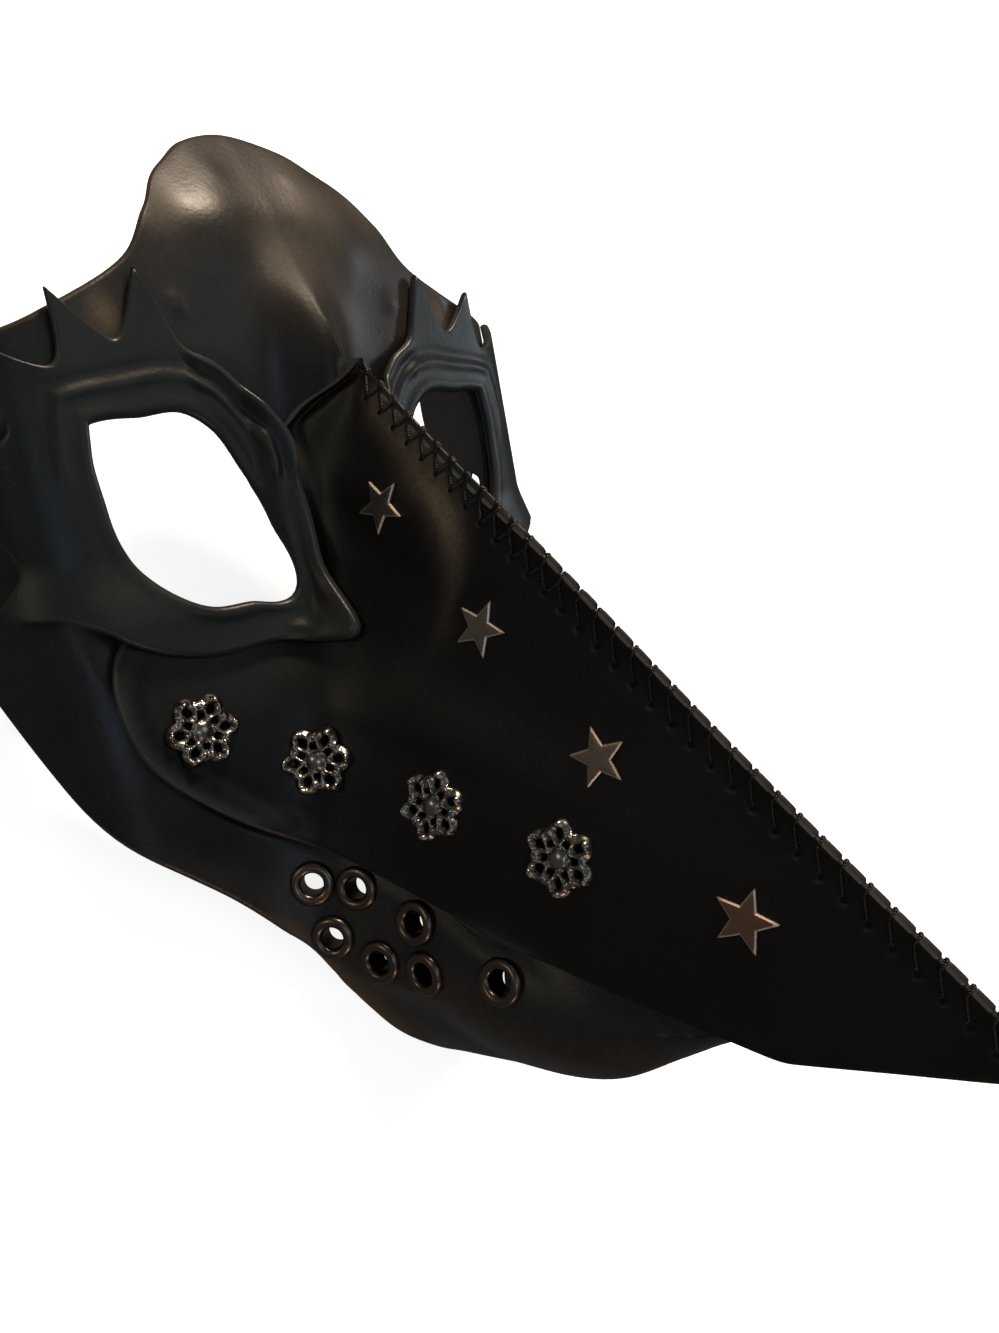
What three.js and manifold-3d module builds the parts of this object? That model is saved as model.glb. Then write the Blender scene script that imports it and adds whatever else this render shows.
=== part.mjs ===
// Plague doctor mask in formed leather, with a long laced beak, studs and eyelets.
// Millimetres. The part lies on its open back: +Z up, +Y the way the beak points, +X the wearer's right.
import * as THREE from 'three';
import { mergeVertices } from 'three/addons/utils/BufferGeometryUtils.js';
import Module from 'manifold-3d';

const wasm = await Module();
wasm.setup();

// The mask's own axes, in which its shape is worked out: x across the face, y along the beak, z up the face.
// Their origin is the top of the nose bridge, where the lacing of the ridge begins.
const LEATHER = 2.2;                    // thickness of each leather panel
const GAP = 0.3;                        // air left between touching pieces
const LAYER = LEATHER + GAP;            // from one layer's face to the next one's
const TIP = { y: 154.5, z: -72 };       // the beak's tip
const SPREAD = 0.129;                   // half width of the beak gained for each millimetre behind its ridge
const RIDGE_SAG = 3.4;                  // how far the ridge hollows between the nose bridge and the tip
const RIDGE_BACK = 2.6;                 // the leather's ridge lies this far behind the lacing's crest line
const FACE_Y = -18;                     // face of the mask beside the nose bridge
const LEAN = { low: 0.372, high: 1.4, start: 26.5, blend: 5 };
const TURN = { from: 47.5, to: 77, first: 4, last: 74 };   // where the sheet turns back to the temples, degrees
const NOSE = { height: 13, width: 7, fade: 24 };
const UNDERSIDE_RADIUS = 6;
const CHIN = { y: 46, z: -108, wide: 24.5, deep: 48, tall: 25 };
const TIP_BLEND = 3;
const CHIN_BLEND = 5;
const FILLET = { ridge: 3, brow: 16, cheek: 44, over: 14 };   // hollow between the beak's side and the face
// Midline of the underside, from the jaw's rim to the tip, as height and distance forward.
const UNDERSIDE = [[-143, 49], [-134, 68], [-126, 82], [-112, 95.5], [-102, 105], [-92, 116], [-82, 134.5],
  [TIP.z, TIP.y], [-60, 190]];

const EYE = { p: 34, z: -27 };          // middle of the right eye hole
const STAR = { points: 5, tip: 5.9, notch: 2.5, thick: 1 };
const ROSETTE = { petals: 6, reach: 7.4, waist: 5.4, thick: 1.4, pierce: 3.5, pierceSize: 1.15 };
const EYELET = { bore: 2.4, barrel: 3, flange: 4.7, rise: 0.9, hole: 3.4, sides: 8 };
const LACE = { pitch: 4.75, start: 5, end: 167, reach: 4.4, waist: 1.5, thick: 1 };
const HIDDEN_TUCK = 2.4;                // a covered edge tucks this far in under the layer over it
const PATCH_LIFT = 0.7;                 // air under the eye patches where they lie on the face panel
const SLOT = { p: 88.5, z: -46, wide: 8.6, long: 19 };
const BEND_STEP = 22;                   // a bend of one radian counts as this much length when a rib is divided
const REST = { tilt: 45.12, forward: -46.61, lift: 68.391 };

const ease = t => { const s = Math.min(1, Math.max(0, t)); return s * s * (3 - 2 * s); };
const smoothMax = (a, b, r) => 0.5 * (a + b + Math.hypot(a - b, r));
const smoothMin = (a, b, r) => -smoothMax(-a, -b, r);
const mix = (a, b, t) => a + (b - a) * t;
const radians = THREE.MathUtils.degToRad;

function lookUp(table, at) {
  // Straight-line reading of a table of [place, value] pairs in rising order.
  let i = 1;
  while (i < table.length - 1 && at > table[i][0]) i += 1;
  const [x0, y0] = table[i - 1];
  const [x1, y1] = table[i];
  return mix(y0, y1, Math.min(1, Math.max(0, (at - x0) / (x1 - x0))));
}

// The sheet seen from above: it runs across the face, then its heading swings round to the temple.
// Along its length p it gives the distance across the face and the setback behind the front.
const SHEET = [];
{
  const step = 0.1;
  const heading = p => radians(mix(TURN.first, TURN.last, ease((p - TURN.from) / (TURN.to - TURN.from))));
  for (let p = 0, across = 0, back = 0; p < 140; p += step) {
    SHEET.push([across, back]);
    across += Math.cos(heading(p + step / 2)) * step;
    back += Math.sin(heading(p + step / 2)) * step;
  }
  SHEET.step = step;
}

function sheetAt(p) {
  const at = Math.min(Math.abs(p) / SHEET.step, SHEET.length - 1.001);
  const [x0, d0] = SHEET[Math.floor(at)];
  const [x1, d1] = SHEET[Math.floor(at) + 1];
  return [mix(x0, x1, at % 1), mix(d0, d1, at % 1)];
}

function surface(p, z) {
  // Outer face of the beak layer, at p along the sheet from the midline and at height z.
  const [x, back] = sheetAt(p);
  const upper = LEAN.high * z - (LEAN.high - LEAN.low) * LEAN.start;
  const nose = NOSE.height * Math.exp(-((x / NOSE.width) ** 2)) * ease(1 - z / NOSE.fade);
  const face = FACE_Y - smoothMax(LEAN.low * z, upper, LEAN.blend) - back + nose;
  const along = Math.min(1, Math.max(0, z / TIP.z));
  const side = z * TIP.y / TIP.z - RIDGE_BACK - RIDGE_SAG * Math.sin(Math.PI * along) - x / SPREAD;
  const under = lookUp(UNDERSIDE, z) - x * x / (2 * UNDERSIDE_RADIUS);
  const inside = 1 - (x / CHIN.wide) ** 2 - ((z - CHIN.z) / CHIN.tall) ** 2;
  const chin = CHIN.y + CHIN.deep * Math.sqrt(Math.max(1e-4, inside)) - 400 * Math.max(0, -inside);
  const beak = smoothMax(smoothMin(side, under, TIP_BLEND), chin, CHIN_BLEND);
  const hollow = mix(FILLET.brow, FILLET.cheek, ease((-45 - z) / 20) * ease((z + 126) / 20));
  const blend = mix(FILLET.ridge, hollow, ease(x / FILLET.over));
  return new THREE.Vector3(p < 0 ? -x : x, smoothMax(beak, face, blend), z);
}

function outward(p, z) {
  // The surface's outward direction; over the nose bridge it eases to straight off the face,
  // so that layers laid on the bridge's sharp ridge stay clear of each other.
  const d = 0.05;
  const across = surface(p + d, z).sub(surface(p - d, z));
  const up = surface(p, z + d).sub(surface(p, z - d));
  const normal = up.cross(across).normalize();
  const plain = new THREE.Vector3(0, Math.cos(radians(20)), Math.sin(radians(20)));
  const bridge = ease((z + 26) / 10) * ease((21 - Math.abs(p)) / 9);
  return normal.lerp(plain, bridge).normalize();
}

const layered = (p, z, w) => surface(p, z).addScaledVector(outward(p, z), w);

function curve(points, rowsEach) {
  // Points on a smooth curve through the given ones, with rowsEach steps between neighbours.
  const size = points[0].length;
  const at = i => points[Math.min(points.length - 1, Math.max(0, i))];
  const made = [];
  for (let i = 0; i < points.length - 1; i += 1) {
    for (let k = 0; k < rowsEach + (i === points.length - 2 ? 1 : 0); k += 1) {
      const t = k / rowsEach;
      const [a, b, c, d] = [at(i - 1), at(i), at(i + 1), at(i + 2)];
      made.push(Array.from({ length: size }, (_, n) => 0.5 * (2 * b[n] + (c[n] - a[n]) * t
        + (2 * a[n] - 5 * b[n] + 4 * c[n] - d[n]) * t * t + (3 * b[n] - a[n] - 3 * c[n] + d[n]) * t ** 3)));
    }
  }
  return made;
}

function rib(from, to, columns) {
  // Flat places from one end to the other, spaced evenly along the formed surface and closer where it bends.
  const fine = 60;
  const place = t => [mix(from[0], to[0], t), mix(from[1], to[1], t)];
  const run = [0];
  let before = null;
  for (let i = 1; i <= fine; i += 1) {
    const step = surface(...place(i / fine)).sub(surface(...place((i - 1) / fine)));
    run.push(run[i - 1] + step.length() + (before ? BEND_STEP * step.angleTo(before) : 0));
    before = step;
  }
  const table = run.map((length, i) => [length, i / fine]);
  return Array.from({ length: columns + 1 }, (_, j) => place(lookUp(table, run[fine] * j / columns)));
}

function shell(outer, inner, wall) {
  // One closed skin over two matching grids; wall(side, k) says whether that stretch of rim is closed.
  const rows = outer.length - 1;
  const columns = outer[0].length - 1;
  const triangles = [];
  const quad = (a, b, c, d) => triangles.push(a, b, c, a, c, d);
  for (let i = 0; i < rows; i += 1) {
    for (let j = 0; j < columns; j += 1) {
      quad(outer[i][j], outer[i][j + 1], outer[i + 1][j + 1], outer[i + 1][j]);
      quad(inner[i][j], inner[i + 1][j], inner[i + 1][j + 1], inner[i][j + 1]);
    }
    if (wall('first', i)) quad(outer[i][0], outer[i + 1][0], inner[i + 1][0], inner[i][0]);
    if (wall('last', i)) {
      quad(outer[i][columns], inner[i][columns], inner[i + 1][columns], outer[i + 1][columns]);
    }
  }
  for (let j = 0; j < columns; j += 1) {
    if (wall('top', j)) quad(outer[0][j], inner[0][j], inner[0][j + 1], outer[0][j + 1]);
    if (wall('bottom', j)) quad(outer[rows][j], outer[rows][j + 1], inner[rows][j + 1], inner[rows][j]);
  }
  return triangles;
}

const mirrored = triangles => triangles.map(v => new THREE.Vector3(-v.x, v.y, v.z)).reverse();

function geometryOf(triangles) {
  const made = new THREE.BufferGeometry().setFromPoints(triangles);
  const merged = mergeVertices(made, 1e-4);
  const kept = [];
  const index = merged.getIndex().array;
  for (let i = 0; i < index.length; i += 3) {
    const [a, b, c] = index.slice(i, i + 3);
    if (a !== b && b !== c && c !== a) kept.push(a, b, c);
  }
  merged.setIndex(kept);
  return merged;
}

function solidOf(geometry) {
  const plain = geometry.clone();
  plain.deleteAttribute('normal');
  plain.deleteAttribute('uv');
  const welded = mergeVertices(plain, 1e-4);
  const mesh = new wasm.Mesh({
    numProp: 3,
    vertProperties: new Float32Array(welded.getAttribute('position').array),
    triVerts: new Uint32Array(welded.getIndex().array),
  });
  return new wasm.Manifold(mesh);
}

function geometryFrom(solid) {
  const { vertProperties, triVerts } = solid.getMesh();
  const made = new THREE.BufferGeometry();
  made.setAttribute('position', new THREE.BufferAttribute(new Float32Array(vertProperties), 3));
  made.setIndex([...triVerts]);
  return made;
}

const cut = (geometry, cutters) => geometryFrom(
  cutters.reduce((left, cutter) => left.subtract(solidOf(cutter)), solidOf(geometry)));

// A frame standing on the leather at (p, z), on the layer whose face is at w: its third axis points out,
// its first axis is turned from the way across the face, and a disc of the given radius just clears the surface.
function seat(p, z, w, radius, turn = 0) {
  const middle = layered(p, z, w);
  const stretch = (dp, dz) => surface(p + dp, z + dz).distanceTo(surface(p - dp, z - dz)) / 0.2;
  const dp = radius / stretch(0.1, 0);
  const dz = radius / stretch(0, 0.1);
  const around = Array.from({ length: 12 }, (_, k) => {
    const angle = k * Math.PI / 6;
    return layered(p + dp * Math.cos(angle), z + dz * Math.sin(angle), w);
  });
  const across = around[0].clone().sub(around[6]);
  const out = around[3].clone().sub(around[9]).cross(across).normalize();
  across.normalize().applyAxisAngle(out, turn);
  const highest = Math.max(0, ...around.map(v => v.sub(middle).dot(out)));
  const frame = new THREE.Matrix4().makeBasis(across, out.clone().cross(across), out);
  return frame.setPosition(middle.addScaledVector(out, highest));
}

const mirrorFrame = frame => {
  const flip = new THREE.Matrix4().makeScale(-1, 1, 1);
  return flip.clone().multiply(frame).multiply(flip);
};

// Face panel: one ring of leather over the forehead, round both temples and under the jaw.
// Each pair is a place on its inner edge, hidden by the layers over it, and the place facing it outside.
const FACE_RIBS = [
  [0, -1, 0, 40.8], [8, -12, 19.5, 35.2], [20, -10, 28.1, 27], [33, -4, 36, 17.1], [49, -5, 54.8, 7.7],
  [57.5, -15, 78, -1], [58, -24, 109, -15], [57.5, -31, 112, -34], [55.5, -40, 101, -52],
  [49, -57, 78, -75.5], [42, -76, 52, -92], [26, -86, 37, -107.5], [15, -87, 28, -124.5], [8, -86, 17, -138.5],
  [0, -86.5, 0, -142]];
const JAW_EYELETS = [[31.5, -97.5], [26.8, -96.9], [23.6, -98.6], [31.5, -107.7], [27.9, -109.9], [25.2, -107.5],
  [22.4, -99.4]].map(([p, z]) => seat(p, z, 2 * GAP - LAYER, 1.5 * EYELET.flange));

function facePanel() {
  const columns = 6;
  const ribs = curve(FACE_RIBS, 2).map(([p0, z0, p1, z1]) => rib([p0, z0], [p1, z1], columns));
  const tuck = j => HIDDEN_TUCK * Math.max(0, 1 - j / 2);
  const face = w => ribs.map(places => places.map(([p, z], j) => layered(p, z, w - tuck(j))));
  const half = shell(face(-LAYER), face(-LAYER - LEATHER), side => side === 'first' || side === 'last');
  const ring = geometryOf([...half, ...mirrored(half)]);
  const cutters = [];
  for (const place of JAW_EYELETS) {
    const bore = new THREE.CylinderGeometry(EYELET.hole, EYELET.hole, 16, EYELET.sides).rotateX(Math.PI / 2);
    cutters.push(bore.clone().applyMatrix4(place), bore.clone().applyMatrix4(mirrorFrame(place)));
  }
  const slot = new THREE.BoxGeometry(SLOT.wide, SLOT.long, 20);
  const place = seat(SLOT.p, SLOT.z, -LAYER, SLOT.wide);
  cutters.push(slot.clone().applyMatrix4(place), slot.clone().applyMatrix4(mirrorFrame(place)));
  return cut(ring, cutters);
}

// Beak panel: both sides of the beak, its underside and the cheeks, open along the laced ridge.
// Each entry is a height on the midline, then the place on the panel's rear edge that its rib runs to.
const BEAK_RIBS = [
  [0.4, 0.8, 0.4], [-2, 5, -5.5], [-5, 11.4, -12.3], [-9, 15.5, -18], [-20, 15, -32], [-32, 16, -45],
  [-40, 26, -48.8], [-46, 42, -48.8], [-51, 53, -48], [-56, 57.7, -57], [-62, 55.5, -69],
  [-68, 46, -79.5], [-72, 34, -88], [-77, 22, -92.8], [-82, 15.5, -92], [-87, 12, -89.5], [-91.5, 8.5, -89]];
const TIP_RIB = 12;
const SEAM = 0.35;                      // half the opening between the two edges at the ridge
const MITRE = 0.2;                      // the edges are bevelled to meet this far from the middle

function beakPanel() {
  const columns = 8;
  const rowsEach = 2;
  const tipRow = TIP_RIB * rowsEach;
  const ribs = curve(BEAK_RIBS, rowsEach).map(([z0, p1, z1], i) =>
    rib([i < tipRow ? SEAM : 0, z0], [p1, z1], columns));
  const covered = i => ease((i / rowsEach - 2.5) / 1.5) * ease((8.5 - i / rowsEach) / 1.5);
  const tuck = (i, j) => 0.7 * HIDDEN_TUCK * covered(i) * Math.max(0, 1 - (columns - j) / 1.5);
  const outer = ribs.map((places, i) => places.map(([p, z], j) => layered(p, z, -tuck(i, j))));
  const inner = ribs.map((places, i) => places.map(([p, z], j) => {
    const out = outward(p, z);
    const room = i < tipRow && out.x > 0.05 ? (outer[i][j].x - MITRE) / out.x : LEATHER;
    return outer[i][j].clone().addScaledVector(out, -Math.min(LEATHER, room));
  }));
  const half = shell(outer, inner, (side, k) => side !== 'first' || k < tipRow);
  return geometryOf([...half, ...mirrored(half)]);
}

// Eye patch: a layer round each eye hole, with flame points on its outer side.
const HOLE = [[45, 22.6], [69, 17.8], [97, 17.1], [117, 15.7], [152, 13.2], [197, 15.7], [227, 24],
  [251, 19.2], [276, 17.9], [300, 16.6], [326, 16.2], [368, 16.7], [393, 20], [405, 22.6]];
const FLAMES = [[88.5, 42.3], [75.5, 31.3], [65, 42.6], [53, 33], [41, 46], [26, 34], [6, 52], [-14, 36], [-24, 46],
  [-33, 32], [-45, 29]];
const EDGES = [[-45, 29], [-76.5, 27.1], [-107, 27.5], [-130.5, 33], [-155, 25.6], [-185, 22.8], [-210, 24.8],
  [-228, 25.5], [-245, 27.5], [-261.5, 30], [-271.5, 42.3]];

function flameRadius(angle) {
  // Between a valley and a point the edge sweeps up slowly and then sharply.
  const i = FLAMES.findIndex(([from], k) => k < FLAMES.length - 1 && angle <= from && angle >= FLAMES[k + 1][0]);
  const [[a0, r0], [a1, r1]] = [FLAMES[i], FLAMES[i + 1]];
  const t = (angle - a0) / (a1 - a0);
  return r0 > r1 ? r1 + (r0 - r1) * (1 - t) ** 1.9 : r0 + (r1 - r0) * t ** 1.9;
}

function patchLevel(p, z) {
  // The patch lies level with the beak panel on the face, and climbs over that panel's edge.
  return PATCH_LIFT + LAYER * ease(Math.max((19.5 - p) / 3, (-44 - z) / 3));
}

function patchAngles(stepsEach) {
  const keys = [...FLAMES.map(([a]) => a), ...EDGES.slice(1).map(([a]) => a)];
  const angles = [];
  for (let i = 0; i < keys.length - 1; i += 1) {
    const steps = stepsEach(Math.abs(keys[i + 1] - keys[i]));
    for (let k = 0; k < steps; k += 1) angles.push(mix(keys[i], keys[i + 1], k / steps));
  }
  return angles;
}

function eyePatch() {
  const rings = 4;
  const hole = curve(HOLE, 6);
  const edge = curve(EDGES, 6).reverse();
  const loop = patchAngles(gap => Math.max(1, Math.round(gap / 8)));
  const places = loop.map(angle => {
    const inside = lookUp(hole, ((angle - 45) % 360 + 360) % 360 + 45);
    const outside = angle > FLAMES.at(-1)[0] ? flameRadius(angle) : lookUp(edge, angle);
    const [c, s] = [Math.cos(radians(angle)), Math.sin(radians(angle))];
    return Array.from({ length: rings + 1 }, (_, j) => {
      const r = mix(inside, outside, j / rings);
      return [EYE.p + r * c, EYE.z + r * s];
    });
  });
  places.push(places[0]);
  const face = w => places.map(row => row.map(([p, z]) => layered(p, z, w + patchLevel(p, z))));
  return geometryOf(shell(face(0), face(-LEATHER), side => side === 'first' || side === 'last'));
}

// Ridge lacing: a saw-toothed strip along the seam, one tooth down each side to every hole.
function ridgeLacing() {
  const slope = Math.atan2(-TIP.z, TIP.y);
  const section = (along, reach, lift) => {
    const z = -along * Math.sin(slope);
    const down = z - reach * Math.cos(slope);
    const p = 0.3 + reach * 0.28;
    return [layered(p, down, lift), layered(0, z, lift)];
  };
  const outer = [];
  const inner = [];
  for (let k = 0; LACE.start + k * LACE.pitch / 2 <= LACE.end; k += 1) {
    const along = LACE.start + k * LACE.pitch / 2;
    const reach = k % 2 ? LACE.waist : LACE.reach;
    for (const [rows, lift] of [[outer, 2 * GAP + LACE.thick], [inner, 2 * GAP]]) {
      const [edge, crest] = section(along, reach, lift);
      rows.push([new THREE.Vector3(-edge.x, edge.y, edge.z), crest, edge]);
    }
  }
  return geometryOf(shell(outer, inner, () => true));
}

function starStud() {
  const outline = new THREE.Shape();
  for (let k = 0; k < 2 * STAR.points; k += 1) {
    const r = k % 2 ? STAR.notch : STAR.tip;
    const angle = Math.PI / 2 + k * Math.PI / STAR.points;
    outline[k ? 'lineTo' : 'moveTo'](r * Math.cos(angle), r * Math.sin(angle));
  }
  return new THREE.ExtrudeGeometry(outline, { depth: STAR.thick, bevelEnabled: false });
}

function rosetteStud() {
  const ring = (count, radius) => Array.from({ length: count }, (_, k) => {
    const angle = 2 * Math.PI * k / count;
    return new THREE.Vector2(radius(k) * Math.cos(angle), radius(k) * Math.sin(angle));
  });
  const outline = new THREE.Shape(ring(2 * ROSETTE.petals, k => (k % 2 ? ROSETTE.waist : ROSETTE.reach)));
  for (let k = 0; k < ROSETTE.petals; k += 1) {
    const angle = 2 * Math.PI * (k + 0.5) / ROSETTE.petals;
    const middle = new THREE.Vector2(ROSETTE.pierce * Math.cos(angle), ROSETTE.pierce * Math.sin(angle));
    const corners = ring(3, () => ROSETTE.pierceSize).map(v => v.rotateAround(new THREE.Vector2(), angle));
    outline.holes.push(new THREE.Path(corners.map(v => v.add(middle))));
  }
  return new THREE.ExtrudeGeometry(outline, { depth: ROSETTE.thick, bevelEnabled: false });
}

function eyelet() {
  const deep = -LEATHER - GAP;
  const profile = [[EYELET.bore, deep], [EYELET.barrel, deep], [EYELET.barrel, 0], [EYELET.flange, 0],
    [mix(EYELET.bore, EYELET.flange, 0.6), EYELET.rise], [EYELET.bore, EYELET.rise * 0.6], [EYELET.bore, deep]];
  const turned = new THREE.LatheGeometry(profile.map(([r, y]) => new THREE.Vector2(r, y)), EYELET.sides);
  return turned.rotateX(Math.PI / 2);
}

const finish = (color, roughness, metalness) => new THREE.MeshStandardMaterial({ color, roughness, metalness });
const leather = { face: [0x1f1915, 0.5, 0], beak: [0x15120f, 0.5, 0], patch: [0x12181a, 0.48, 0] };

const mask = new THREE.Group();
mask.rotation.x = radians(REST.tilt);
mask.position.set(0, REST.forward, REST.lift);

function add(name, geometry, [color, roughness, metalness], frame) {
  const mesh = new THREE.Mesh(geometry, finish(color, roughness, metalness));
  mesh.name = name;
  if (frame) frame.decompose(mesh.position, mesh.quaternion, mesh.scale);
  mask.add(mesh);
}

function addPair(name, geometry, looks, frame) {
  // The same fitting on the wearer's right and, turned over the midline, on the left.
  add(`${name}_right`, geometry, looks, frame);
  add(`${name}_left`, geometry, looks, mirrorFrame(frame));
}

add('face_panel', facePanel(), leather.face);
add('beak_panel', beakPanel(), leather.beak);
const patch = eyePatch();
add('eye_patch_right', patch, leather.patch);
{
  const flipped = patch.clone().scale(-1, 1, 1);
  const index = flipped.getIndex();
  flipped.setIndex([...index.array].reverse());
  add('eye_patch_left', flipped, leather.patch);
}
add('ridge_lacing', ridgeLacing(), [0x0d0c0b, 0.6, 0]);

// Place of each star on the sheet, and its own turn in degrees.
const STARS = [[4.9, -25.3, 9], [5.5, -41.4, 26], [5.55, -55.3, 69], [5.8, -70.3, 36]];
STARS.forEach(([p, z, turn], k) => addPair(`star_stud_${k + 1}`, starStud(), [0x6b625c, 0.3, 1],
  seat(p, z, GAP, STAR.tip, radians(turn))));
const ROSETTES = [[43.8, -65.6], [24.8, -73.8], [16.8, -74.9], [12, -74]];
ROSETTES.forEach(([p, z], k) => addPair(`rosette_stud_${k + 1}`, rosetteStud(), [0x77736d, 0.35, 1],
  seat(p, z, 2 * GAP, 1.1 * ROSETTE.reach)));
JAW_EYELETS.forEach((place, k) => addPair(`jaw_eyelet_${k + 1}`, eyelet(), [0x584d40, 0.35, 1], place));

const part = new THREE.Group();
part.add(mask);
export default part;
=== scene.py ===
"""Plague doctor mask in formed leather: the dressed model, laid on a pale floor.

Shapes are worked out in millimetres in the mask's own axes (x across the face, y along the beak, z up the
face, from the top of the nose bridge), then turned and moved to where the mask lies.
"""
from math import cos, pi, radians, sin, tau

import bpy
import numpy as np
from mathutils import Matrix, Vector


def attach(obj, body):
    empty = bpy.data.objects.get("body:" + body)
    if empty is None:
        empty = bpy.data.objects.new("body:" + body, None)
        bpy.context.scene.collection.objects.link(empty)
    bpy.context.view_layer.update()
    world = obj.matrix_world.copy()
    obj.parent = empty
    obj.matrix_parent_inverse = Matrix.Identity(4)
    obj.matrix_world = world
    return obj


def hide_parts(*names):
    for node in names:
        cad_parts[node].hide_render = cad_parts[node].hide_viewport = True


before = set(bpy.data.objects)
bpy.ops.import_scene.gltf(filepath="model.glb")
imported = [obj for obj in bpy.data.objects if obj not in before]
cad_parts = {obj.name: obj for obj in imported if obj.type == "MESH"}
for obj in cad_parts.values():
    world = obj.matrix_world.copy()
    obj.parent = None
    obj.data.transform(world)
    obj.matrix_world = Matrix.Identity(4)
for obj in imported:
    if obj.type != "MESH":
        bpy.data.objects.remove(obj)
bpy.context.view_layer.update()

# Sizes, in millimetres and degrees
MM = 0.001
REST_TILT, REST_FORWARD, REST_LIFT = 45.12, -46.61, 68.391
LEATHER = 2.2
LAYER = 2.5
TIP_Y, TIP_Z = 154.5, -72.0
SPREAD = 0.129
RIDGE_SAG, RIDGE_BACK = 3.4, 2.6
FACE_Y = -18.0
LEAN_LOW, LEAN_HIGH, LEAN_START, LEAN_BLEND = 0.372, 1.4, 26.5, 5.0
TURN_FROM, TURN_TO, TURN_FIRST, TURN_LAST = 47.5, 77.0, 4.0, 74.0
NOSE_HEIGHT, NOSE_WIDTH, NOSE_FADE = 13.0, 7.0, 24.0
UNDERSIDE_RADIUS = 6.0
CHIN_Y, CHIN_Z, CHIN_WIDE, CHIN_DEEP, CHIN_TALL = 46.0, -108.0, 24.5, 48.0, 25.0
TIP_BLEND, CHIN_BLEND = 3.0, 5.0
FILLET_RIDGE, FILLET_BROW, FILLET_CHEEK, FILLET_OVER = 3.0, 16.0, 44.0, 14.0
UNDERSIDE = np.array([[-143, 49], [-134, 68], [-126, 82], [-112, 95.5], [-102, 105], [-92, 116], [-82, 134.5],
                      [TIP_Z, TIP_Y], [-60, 190]], float)
EYE_P, EYE_Z = 34.0, -27.0
SLOT_P, SLOT_Z, SLOT_WIDE, SLOT_LONG = 88.5, -46.0, 8.6, 19.0


# The formed surface
def ease(t):
    """0 below 0, 1 above 1, and between them the smooth step 3t^2 - 2t^3."""
    t = np.clip(t, 0, 1)
    return t * t * (3 - 2 * t)


def smooth_max(a, b, r):
    """The larger of two heights, rounded over about r where they cross."""
    return 0.5 * (a + b + np.hypot(a - b, r))


def smooth_min(a, b, r):
    """The smaller of two heights, rounded in the same way."""
    return -smooth_max(-a, -b, r)


def mix(a, b, t):
    """The value between a and b at the share t of the way."""
    return a + (b - a) * t


def hump(x, middle, wide):
    """A smooth hump of height 1: e to minus the square of the distance from its middle over its width."""
    return np.exp(-((x - middle) / wide) ** 2)


SHEET_P = np.linspace(0, 140, 1401)
SHEET_HEADING = np.radians(mix(TURN_FIRST, TURN_LAST, ease((SHEET_P - TURN_FROM) / (TURN_TO - TURN_FROM))))
SHEET_MIDWAY = (SHEET_HEADING[1:] + SHEET_HEADING[:-1]) / 2
SHEET_STEP = SHEET_P[1] - SHEET_P[0]
SHEET_ACROSS = np.concatenate([[0], np.cumsum(np.cos(SHEET_MIDWAY))]) * SHEET_STEP
SHEET_BACK = np.concatenate([[0], np.cumsum(np.sin(SHEET_MIDWAY))]) * SHEET_STEP
TABLE_Z = np.linspace(-150, 45, 1951)
TABLE_HALF = 30
TABLE_STRAIGHT = np.pad(np.interp(TABLE_Z, UNDERSIDE[:, 0], UNDERSIDE[:, 1]), TABLE_HALF, "edge")
TABLE_UNDER = np.convolve(TABLE_STRAIGHT, np.ones(2 * TABLE_HALF + 1) / (2 * TABLE_HALF + 1), "valid")


def surface(p, z):
    """Outer face of the beak's leather at p along the sheet from the midline and height z.

    It is the smooth larger of the face plate, which leans and turns back to the temples, and the beak: a
    wedge that widens by SPREAD behind its ridge, cut by its underside, together with the chin's ellipsoid.
    """
    p, z = np.broadcast_arrays(np.asarray(p, float), np.asarray(z, float))
    x = np.interp(np.abs(p), SHEET_P, SHEET_ACROSS)
    back = np.interp(np.abs(p), SHEET_P, SHEET_BACK)
    nose = NOSE_HEIGHT * np.exp(-(x / NOSE_WIDTH) ** 2) * ease(1 - z / NOSE_FADE)
    lean = smooth_max(LEAN_LOW * z, LEAN_HIGH * z - (LEAN_HIGH - LEAN_LOW) * LEAN_START, LEAN_BLEND)
    face = FACE_Y - lean - back + nose
    along = np.clip(z / TIP_Z, 0, 1)
    side = z * TIP_Y / TIP_Z - RIDGE_BACK - RIDGE_SAG * np.sin(pi * along) - x / SPREAD
    under = np.interp(z, TABLE_Z, TABLE_UNDER) - x * x / (2 * UNDERSIDE_RADIUS)
    inside = 1 - (x / CHIN_WIDE) ** 2 - ((z - CHIN_Z) / CHIN_TALL) ** 2
    chin = CHIN_Y + CHIN_DEEP * np.sqrt(np.maximum(1e-4, inside)) - 400 * np.maximum(0, -inside)
    beak = smooth_max(smooth_min(side, under, TIP_BLEND), chin, CHIN_BLEND)
    hollow = mix(FILLET_BROW, FILLET_CHEEK, ease((-45 - z) / 20) * ease((z + 126) / 20))
    blend = mix(FILLET_RIDGE, hollow, ease(x / FILLET_OVER))
    return np.stack([np.where(p < 0, -x, x), smooth_max(beak, face, blend), z], -1)


def outward(p, z):
    """Unit normal by central differences; on the nose bridge it eases to straight off the face."""
    d = 0.05
    across = surface(p + d, z) - surface(p - d, z)
    up = surface(p, z + d) - surface(p, z - d)
    normal = np.cross(up, across)
    normal /= np.linalg.norm(normal, axis=-1, keepdims=True)
    plain = np.array([0, cos(radians(20)), sin(radians(20))])
    bridge = (ease((z + 26) / 10) * ease((21 - np.abs(p)) / 9))[..., None]
    normal = mix(normal, plain, bridge)
    return normal / np.linalg.norm(normal, axis=-1, keepdims=True)


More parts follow.
